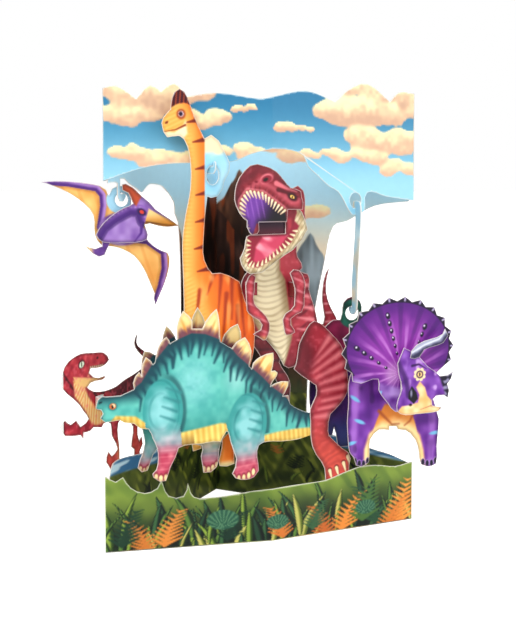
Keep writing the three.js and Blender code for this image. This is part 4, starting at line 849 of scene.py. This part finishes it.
def paint_plated(x, z, inset, y, far=False):
    reach, side = follow(x, z, BACK)
    skin = blend("#2e8f8c", "#72c8ba", 0.35 + 0.4 * mottle(x, z, 5, 101) + 0.3 * mottle(x, z, 2.1, 104))
    art = Print(x, z, skin)
    flank = fade(oval(x, z, -43, 83, 15, 19), 0, 1)
    art.wash("#a4dbe0", 0.6 * flank * (0.6 + 0.4 * mottle(x, z, 1.2, 112)))
    art.wash("#a5dcd6", 0.6 * fade(oval(x, z, -22, 82, 9, 9), 0.15, 1))
    art.wash("#1e6b6b", 0.6 * fade(z, 55, 72) * (x > -53) * (x < -24))
    art.wash("#123c48", 0.85 * fade(-side, 0, 7))
    length, run = 0.0, []
    for (ax, az), (bx, bz) in zip(BACK[2:-1], BACK[3:]):
        step = math.hypot(bx - ax, bz - az)
        for t in np.arange((-length) % FOLD_GAP_MM, step, FOLD_GAP_MM) / step:
            run.append((ax + (bx - ax) * t, az + (bz - az) * t, (bz - az) / step, (bx - ax) / step))
        length += step
    rng = np.random.default_rng(105)
    for px, pz, up, over in run:
        deep, sway = rng.uniform(4, 12), rng.uniform(-0.5, 0.9)
        middle = (px + up * deep * 0.4 + sway, pz - over * deep * 0.5)
        tip = (px + up * deep * 0.6 - sway, pz - over * deep - 0.2 * deep)
        art.stroke([(px, pz), middle, tip], rng.uniform(1.6, 3.0), "#174a56", 0.8)
    for cx, cz, wide, tall in ((-57.6, 70, 9.5, 15), (-15.6, 60, 11, 15)):
        reach_out = oval(x, z, cx, cz, wide, tall)
        shell = fade(reach_out, 0.94, 1.02)
        bulge = ramp(1 - reach_out + 0.35 * (mottle(x, z, 3, 103) - 0.5), 0.1, 0.8)
        arcs = ramp(np.sin(reach_out * 15 + 0.3 * (x - cx)), 0.55, 1) * ramp(reach_out, 0.4, 0.7)
        creases = 0.45 * arcs * (0.4 + 0.6 * mottle(x, z, 3, 109))
        skin = blend(blend("#3f9a97", "#8fcfd0", bulge), "#1d6a6e", creases)
        shade = 0.6 * ramp(x - cx, -4, 6) * fade(abs(reach_out - 1.05), 0.02, 0.2) * (z > 54)
        art.wash("#123f48", shade)
        art.wash(skin, shell * ramp(z, cz - tall * 0.9, cz - tall * 0.5))
        for k in range(4):
            start = (cx + wide * 0.86 - 0.9 * k, cz + 8 - 4.2 * k)
            art.stroke([start, (start[0] - 6.5, start[1] + 2.6)], 1.5, "#3a8688", 0.9)
    belly_x = (-84, -79, -70, -64, -58, -49, -40, -30.6, -27.6, -24)
    belly = np.interp(x, belly_x, (64, 69.3, 68.4, 64, 56, 59.6, 61, 62.6, 62, 50))
    tail = np.interp(x, (-14, -6, 2, 12, 24), (40, 53.2, 53.6, 53.5, 52.5))
    straw = 0.35 + 0.3 * np.sin(x * 2.3 + 0.2 * z) + 0.4 * mottle(x, z, 2.5, 110)
    yellow = blend("#cfa045", "#f5da7e", straw)
    yellow = blend(yellow, "#7a5a33", 0.6 * (x > -53) * (x < -43) * fade(z, 54, 60))
    limb = ((abs(x + 57.6 - 0.08 * (64 - z)) < 8) & (z < 66)) | ((abs(x + 15.6) < 9.5) & (z < 60))
    low = np.where(x > -13, tail, belly)
    art.wash(yellow, fade(z - low, -0.5, 0.9) * (~limb) * (z > 47.5))
    foot = (z < 58) if far else limb
    pale = blend("#7fa6ab", "#cfc3cb", mottle(x, z, 2.4, 106))
    top = 58 if far else np.where(x < -40, 66, 57)
    art.wash(pale, 0.85 * fade(z, top - 9, top) * foot)
    rose = blend("#b63a56", "#f0a9ac", 0.5 * mottle(x, z, 2, 107) + 0.2 * ramp(np.sin(z * 2.2), 0.3, 1))
    art.wash(rose, fade(z, top - 17, top - 8) * foot)
    for nail in FAR_NAILS if far else NEAR_NAILS:
        art.spot(nail, (1.35, 2.1), "#8c2a3c", 0.3)
        art.spot((nail[0], nail[1] - 0.3), (0.95, 1.6), "#f9e0a8", 0.3)
    ray = blend("#d89344", "#f8dc98", ramp(mottle(reach, side * 0.16, 1.1, 108) + 0.05 * side, 0.25, 1.0))
    ray = blend(ray, "#6c3f52", 0.9 * fade(side - 3 * mottle(reach, side * 0.1, 0.9, 111), 0.4, 4.4))
    ray = blend(ray, "#fff0c4", 0.6 * fade(inset, 0.4, 1.1))
    art.wash(ray, ramp(side, 0.7, 1.5) * (x > -72.5))
    if far:
        art.colour = art.colour * 0.88
    else:
        art.spot((-80.3, 73.8), (2.1, 1.9), "#2a7a7c", 0.3)
        art.spot((-80.3, 73.8), (1.5, 1.4), "#c8693a", 0.2)
        art.spot((-80.1, 74), (0.9, 0.9), "#f6dcae", 0.3)
        art.spot((-80.4, 73.6), (0.5, 0.8), "#1a1410", 0.3)
        art.spot((-85.8, 75.8), (0.9, 0.5), "#0f333c", 0.4, 0.5)
        art.stroke([(-87.5, 72.6), (-85.4, 70.4), (-85.2, 67.6)], 1.7, "#102c38", 0.4)
    return art.cut(inset, 0.2 if far else 0.16, 2)


def paint_plated_far(x, z, inset, y):
    return paint_plated(x, z, inset, y, True)


printed_sheet("plated_near", paint_plated, 0.5, plain_side)
printed_sheet("plated_far", paint_plated_far, 0.5, plain_side)


# The flyer: wings, body and foot, glued up and printed on both sides because it turns on its hook. The
# ring above the wings hangs from the rear sheet's hook.
FLYER_X, FLYER_Z = -69.6, 168


def paint_wings(x, z, inset, y):
    x, z = x - FLYER_X, z - FLYER_Z
    art = Print(x, z, blend("#e5a254", "#f7cf86", mottle(x, z, 5, 111)))
    art.wash("#d98f45", 0.4 * ramp(np.sin(x * 0.9 + z * 0.3), 0.5, 1))
    for line in (
        [(-38, 5.4), (-24, 4.4), (-11, 2.2), (-8.4, -1), (-8, -6), (-9.6, -16)],
        [(6, -22), (13, -23), (21, -28.6), (21.4, -36), (19.4, -45), (16.2, -54)],
    ):
        reach, side = follow(x, z, line)
        arm = fade(abs(side), 1.25, 1.75)
        tone = blend("#54307c", "#a983c6", ramp(side + 0.5 * (mottle(x, z, 2.5, 112) - 0.5), -0.7, 0.9))
        art.wash("#a8703a", 0.5 * fade(abs(side), 1.8, 3.4))
        art.wash(tone, arm)
    inner = fade(oval(x, z, 1, -17, 12.5, 8.5), 0.85, 1.0)
    art.wash(blend("#6a4392", "#a888c8", mottle(x, z, 3.5, 113)), inner)
    art.wash("#9fcbe0", fade(np.hypot(x, z + 3.2), 6.2, 7))
    return art.cut(inset, 0.12, 1.5)


def paint_flyer(x, z, inset, y):
    x, z = x - FLYER_X, z - FLYER_Z
    art = Print(x, z, blend("#7b55a3", "#a88ac6", mottle(x, z, 3, 115)))
    trunk, over = follow(x, z, [(-12, -20.5), (-9, -15.5), (-3, -11.2), (4, -7.6), (9, -8), (10.5, -13)])
    light = 0.5 * fade(abs(over - 1.1), 0.1, 0.8) * ramp(np.sin(trunk * 3), -0.4, 0.8)
    skin = blend(blend("#4d2c78", "#8c63b2", ramp(over, -1.4, 1.6)), "#c3a6dc", light)
    art.wash(skin, fade(abs(over), 2.2, 2.8))
    art.wash("#3b2160", 0.6 * fade(abs(over + 2.9), 0.2, 1.0))
    art.stroke([(9.6, -15), (9.2, -19), (6, -23)], 1.8, "#5a3588", 0.4)
    art.field([(-1.5, 0), (-1, 5), (4, 4), (9.6, -1.4), (7, -6.2), (4.4, -4)], "#b5502f")
    beak = [(13, -7.5), (29, -16), (10.6, -16.6), (11.6, -12)]
    art.field(beak, blend("#c98a3a", "#f4cf8c", ramp(z, -15, -9)), 0.4)
    art.stroke([(11.6, -13.8), (26, -15.6)], 0.7, "#7a4a1e")
    art.spot((9.6, -9), (2.4, 1.6), "#35204f", 0.35, -0.5)
    art.spot((9.6, -9), (1.1, 0.8), "#d0453a", 0.25, -0.5)
    return art.cut(inset, 0.3, 2)


def paint_foot(x, z, inset, y):
    x, z = x - FLYER_X, z - FLYER_Z
    art = Print(x, z, blend("#59367f", "#8a62ac", mottle(x, z, 2, 118)))
    art.wash("#eccb91", fade(x, -15, -12.4))
    return art.cut(inset, 0.2, 1.4)


for part_name, paint in (("wings", paint_wings), ("body", paint_flyer), ("foot", paint_foot)):
    printed_sheet("flyer_" + part_name, paint, 0.5, paint)


# The long-necked dinosaur: one sheet printed on both sides, orange with a paler throat and brown back
# stripes. It hangs by its ring from the front band's hook.
LONGNECK_X, LONGNECK_Z = -30.35, 180.7
STRIPES = [(-7.6, 21), (-4.6, 12), (-3.4, -0.5), (-3.2, -12.5), (-3.4, -25), (-4, -37.5), (-2.6, -48)]
STREAKS = [
    [(1, -50), (-2.5, -60)], [(4.5, -50), (3, -68)], [(9.6, -52), (9.6, -72)], [(13.6, -56), (16, -82)],
    [(-6, -58), (-8, -72)], [(7, -60), (5, -84)], [(12.6, -66), (12, -90)],
]


def paint_longneck(x, z, inset, y):
    x, z = x - LONGNECK_X, z - LONGNECK_Z
    spine = [(-15, 30), (-9, 17), (-7.5, 0), (-8.5, -20), (-9, -50), (-4, -62), (3, -80), (4, -110),
             (3, -140)]
    reach, side = follow(x, z, spine)
    art = Print(x, z, blend("#f6c36a", "#ec7f2c", ramp(side, -4, 4.5)))
    art.wash("#d8591f", 0.55 * ramp(side, 3.5, 12) + 0.12 * mottle(x, z, 6, 121))
    rings = 0.5 + 0.5 * np.sin(reach * 2 * math.pi / 1.9)
    art.wash("#d58f35", 0.4 * rings * fade(side, -3.5, 0.5))
    for edge, height in STRIPES:
        art.stroke([(edge + 0.8, height), (edge - 4.6, height - 1.2)], 2.3, "#7a2c18", 0.45)
    for streak in STREAKS:
        art.stroke(streak, 2.1, "#a8401a", 0.8)
    art.wash("#ffc27a", 0.5 * flecks(x, z * 0.35, 2.6, 122, 0.6, 0.95) * fade(z, -52, -46))
    crest = blend("#4b1220", "#b2552f", ramp(np.sin(x * 3.4 - z * 0.3), 0.2, 1) * 0.75)
    comb = [(-20.4, 26), (-19.4, 36), (-10.4, 37), (-9.2, 27.6), (-13.2, 28.8), (-16.5, 28.2)]
    art.field(comb, crest, 0.45)
    chin = [(-22.6, 12), (-22.8, 15.4), (-18, 15.2), (-14.2, 17.8), (-12.6, 20.6), (-11.8, 15), (-14, 11.4)]
    art.field(chin, "#fbe3bb", 0.9)
    art.stroke([(-12.8, 18.6), (-17.4, 16.4), (-22.9, 15.4)], 1.0, "#8a3a1b")
    art.spot((-21.6, 19.6), (0.9, 0.55), "#7b2f18", 0.5, 0.6)
    art.spot((-14.8, 23.6), (2.2, 2.4), "#a34d22", 0.3)
    art.spot((-14.8, 23.7), (1.3, 1.35), "#d9c3cf")
    art.spot((-14.9, 23.7), (0.95, 1.0), "#2a1834")
    ring = ramp(x, -3.9, -3.2) * ramp(z, -26, -20) * fade(z, 15, 16)
    ring = ring * (x > np.interp(z, (9, 15), (-9, -3.4)))
    sky = blend("#8fcbe6", "#b7e0f0", mottle(x, z, 5, 123))
    sky = blend(sky, "#f3dcb0", 0.9 * ramp(z + 2 * mottle(x, z, 3, 124), 5, 8))
    art.wash(sky, ring)
    art.wash("#f8dda4", fade(z, -141, -138.5))
    return art.cut(inset, 0.14, 2)


printed_sheet("longneck", paint_longneck, 0.5, paint_longneck)


# The link: a plain strip of sky-coloured card, printed on both sides, with a hook at each end. It hangs from
# the eye in the front band.
def paint_link(x, z, inset, y):
    art = Print(y, z, blend("#8fbfd6", "#d3e8ec", mottle(y, z, 7, 131)))
    art.wash("#f2cfa6", 0.6 * flecks(y, z, 9, 132, 0.55, 0.8))
    return art.rimmed(inset, "#f4f4f0", 0.6)


printed_sheet("link", paint_link, 0.6, paint_link)


# The horned dinosaur: five printed sheets on card spacers, violet with a broad ribbed frill. The body's ring
# hangs from the link's lower hook.
FRILL_X, FRILL_Z = 60.5, 92.3
FRILL_HALF_WIDTH, FRILL_HALF_HEIGHT = 28, 23
SPIKE_TURN = math.radians(250 / 30)
FRILL_START = math.radians(25)
STUD_ROWS = [((38.4, 93.5), (53.8, 83.3), 5), ((54.7, 108.5), (59.7, 90), 6), ((74.7, 102.4), (71.6, 95), 3)]
CHEST_NAILS = [(42.2, 36), (44.4, 34.8), (46.7, 34.6), (48.9, 35.6), (79.4, 32.6), (81.8, 31.8), (84.2, 31.8),
               (86.4, 32.8)]


def paint_frill(x, z, inset, y):
    dx, dz = x - FRILL_X - 1, z - FRILL_Z + 12
    angle, out = np.arctan2(dz, dx), np.hypot(dx, dz)
    across, up = (x - FRILL_X) / FRILL_HALF_WIDTH, (z - FRILL_Z) / FRILL_HALF_HEIGHT
    reach = np.hypot(across, up)
    art = Print(x, z, blend("#8d3aa0", "#5b1c7c", ramp(reach + 0.2 * (mottle(x, z, 4, 142) - 0.5), 0.3, 1)))
    rib = ramp(np.cos(angle * 18 + 0.6 * np.sin(out / 6)), 0.35, 1)
    art.wash("#d59be0", 0.75 * rib * fade(out, 14, 33) * (0.5 + 0.5 * mottle(x, z, 3, 141)))
    art.wash("#3f1160", 0.45 * ramp(-np.cos(angle * 18), 0.4, 1) * ramp(out, 8, 26))
    art.wash("#efc9ee", 0.6 * fade(oval(x, z, 57.5, 80, 7, 9), 0.1, 1))
    for outer, inner, studs in STUD_ROWS:
        turn = math.atan2(outer[1] - inner[1], outer[0] - inner[0]) - math.pi / 2
        for share in np.linspace(0, 1, studs):
            place = (outer[0] + (inner[0] - outer[0]) * share, outer[1] + (inner[1] - outer[1]) * share)
            size = 1.15 - 0.5 * share
            art.spot(place, (size, size * 1.45), "#1c1030", 0.3, turn)
            art.spot((place[0] - 0.3, place[1] + 0.45), (size * 0.4, size * 0.45), "#e6dcf4", 0.5)
    neck = blend("#5f2d86", "#b493d4", mottle(x, z, 3.2, 143))
    art.wash(neck, fade(z + 0.25 * (x - 48), 75, 78))
    art.spot((50.2, 70.6), (2.0, 0.9), "#79b7dc", 0.3, 0.8)
    art.spot((54.4, 64.4), (1.8, 0.9), "#5fa3c8", 0.3, -0.5)
    spikes = ramp(reach, 0.965, 0.99) * (z > FRILL_Z - 12)
    art.wash("#1f1230", spikes)
    tips = np.cos((np.arctan2(up, across) + FRILL_START) * math.pi / SPIKE_TURN)
    art.wash("#c9bfe0", 0.85 * spikes * ramp(-tips, 0.86, 1) * ramp(reach, 0.99, 1.02))
    return art.cut(inset, 0.1, 1.2)


def paint_chest(x, z, inset, y):
    art = Print(x, z, blend("#571f7f", "#8c4fb4", mottle(x, z, 4.5, 151)))
    for cx in (41.5, 84.5):
        art.wash("#b07ad0", 0.7 * fade(abs(x - cx - 0.05 * (z - 50)), 0.3, 3.2))
    art.wash("#35124f", 0.5 * flecks(x, z * 0.5, 3, 152, 0.6, 0.95))
    arch = [(49.2, 31), (49.6, 41), (52, 47.5), (57, 51), (65, 51.4), (71, 50), (75, 45), (77, 38), (78, 31)]
    near = abs(follow(x, z, arch)[1])
    glow = blend("#fbd99c", "#d98436", ramp(near + 2 * (mottle(x, z, 3, 153) - 0.5), 1, 6.5))
    depth = np.interp(x, (46, 52, 58, 70, 76, 82), (-0.6, 0, 9, 9, 0, -0.6))
    art.wash(glow, fade(near - depth, 2.0, 4.2))
    art.stroke([(55, 60), (62, 53), (66, 53)], 1.6, "#a8552a", 0.8)
    art.stroke([(75, 60), (72, 54), (69, 52)], 1.6, "#a8552a", 0.8)
    for cx, cz, turn in ((42, 67, -0.6), (44.6, 55.5, -0.4), (84, 58.4, 0.3), (39.8, 45, 0.2), (86, 47, 0.1)):
        art.spot((cx, cz), (3.0, 0.9), "#79b7dc", 0.4, turn)
    for nail in CHEST_NAILS:
        art.spot(nail, (1.15, 1.9), "#c3a6dc", 0.2)
        art.spot(nail, (0.9, 1.6), "#1f1733", 0.3)
    return art.cut(inset, 0.25, 1.8)


def paint_face(x, z, inset, y):
    art = Print(x, z, blend("#5c2388", "#9c68c4", mottle(x, z, 3.2, 161)))
    art.wash("#d9b8ea", 0.7 * flecks(x, z * 0.6, 2, 162, 0.55, 0.9) * ramp(x, 60, 68))
    art.wash("#2f0f4c", 0.6 * fade(abs(follow(x, z, [(58, 86), (62, 78), (63.5, 70)])[1]), 0.4, 2.2))
    snout = [(69.6, 76.6), (72.4, 73.4), (73.6, 69.4), (76, 66.8), (78.6, 66), (86, 64.4), (79, 59),
             (57, 58.4), (56, 61), (60, 65), (64.6, 65.4), (68.6, 66.4), (69.4, 70), (67.6, 73.8)]
    tone = blend("#ea9f52", "#fde2b4", 0.3 + 0.7 * mottle(x, z, 2.6, 163))
    art.field(snout, tone)
    art.stroke([(80, 64.8), (75, 64.2), (70, 62.8)], 0.6, "#a8654a", 0.35)
    beak = ramp(x + 0.35 * abs(z - 70), 82.4, 84) * (z > 60)
    horn = blend("#1f1a30", "#8f8aa8", ramp(mottle(x, z, 1.6, 164) + 0.25 * np.sin(z * 2), 0.45, 0.95))
    art.wash(horn, beak)
    for petal in range(8):
        turn = petal * math.pi / 4 + 0.3
        art.spot((69.5 + 2.4 * math.cos(turn), 80 + 2.4 * math.sin(turn)), (0.95, 0.95), "#f6dfa8", 0.3)
    for size, ink in ((1.9, "#3a1f4e"), (1.25, "#eec98a")):
        art.spot((69.5, 80), (size, size), ink, 0.2)
    art.spot((69.5, 80), (0.45, 0.85), "#140d16", 0.3)
    art.stroke([(65.4, 84.4), (69, 85), (73, 82.6)], 1.3, "#3a1458", 0.4)
    drop = [(66.4, 65.8), (63.4, 68.4), (63.6, 71.4), (65.2, 74.6), (67.8, 71.4), (68.6, 68.2)]
    art.field(drop, blend("#14111f", "#8a89a3", fade(oval(x, z, 65, 71, 0.9, 3), 0.2, 1)), 0.3)
    art.spot((64.6, 65.4), (0.9, 0.6), "#2a1020", 0.3)
    art.spot((84.6, 64.2), (2.6, 1.4), "#3a3450", 0.35)
    return art.cut(inset, 0.18, 1.5)


def paint_horn(x, z, inset, y):
    reach, side = follow(x, z, [(65, 90), (72, 93.6), (80, 96.2), (83.5, 100)])
    grain = side + 0.8 * (mottle(x, z, 1.5, 165) - 0.5)
    art = Print(x, z, blend("#34324f", "#a9aec4", ramp(grain, -1.5, 1.1)))
    art.wash("#e9ecf4", 0.7 * fade(abs(side - 0.9), 0.1, 0.7))
    return art.cut(inset, 0.15, 0.8)


def paint_horned_body(x, z, inset, y):
    art = Print(x, z, blend("#2a1640", "#5b2f7c", mottle(x, z, 6, 171)))
    art.wash(blend("#5a0f35", "#8f2550", mottle(x, z, 4, 172)), ramp(z, 82, 92))
    green = blend("#123f37", "#2f7a66", mottle(x, z, 3, 173))
    art.wash(green, fade(np.hypot(x - 45.5, z - 107.5), 6.6, 7.8))
    art.wash(green, 0.8 * fade(x - 28, 0, 5) * ramp(z, 84, 94))
    art.wash("#1c3f66", 0.6 * fade(z, 48, 60))
    return art.cut(inset, 0.25, 2.5)


printed_sheet("horned_body", paint_horned_body, 0.45, paint_horned_body)
for part_name, paint in (
    ("chest", paint_chest), ("frill", paint_frill), ("face", paint_face), ("brow_horn", paint_horn),
):
    printed_sheet("horned_" + part_name, paint, 0.45, plain_side)


# Spacers, strips and the brace: narrow strips of the same board, folded and glued between the sheets. Those
# of the hunter are crimson, and the others plain.
def paint_strip(x, z, inset, y):
    return hide_crimson(x, z, 181) * 0.8


for node_name in frame["nodes"]:
    if node_name.endswith("_spacer") or node_name in ("neck_brace", "plated_strip"):
        paint = paint_strip if SLOT_OF[node_name] == "crimson_card" else plain_side
        printed_sheet(node_name, paint, 1.2, paint)

size = {"cad": cad_box, "visual": [list(corner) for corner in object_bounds()]}
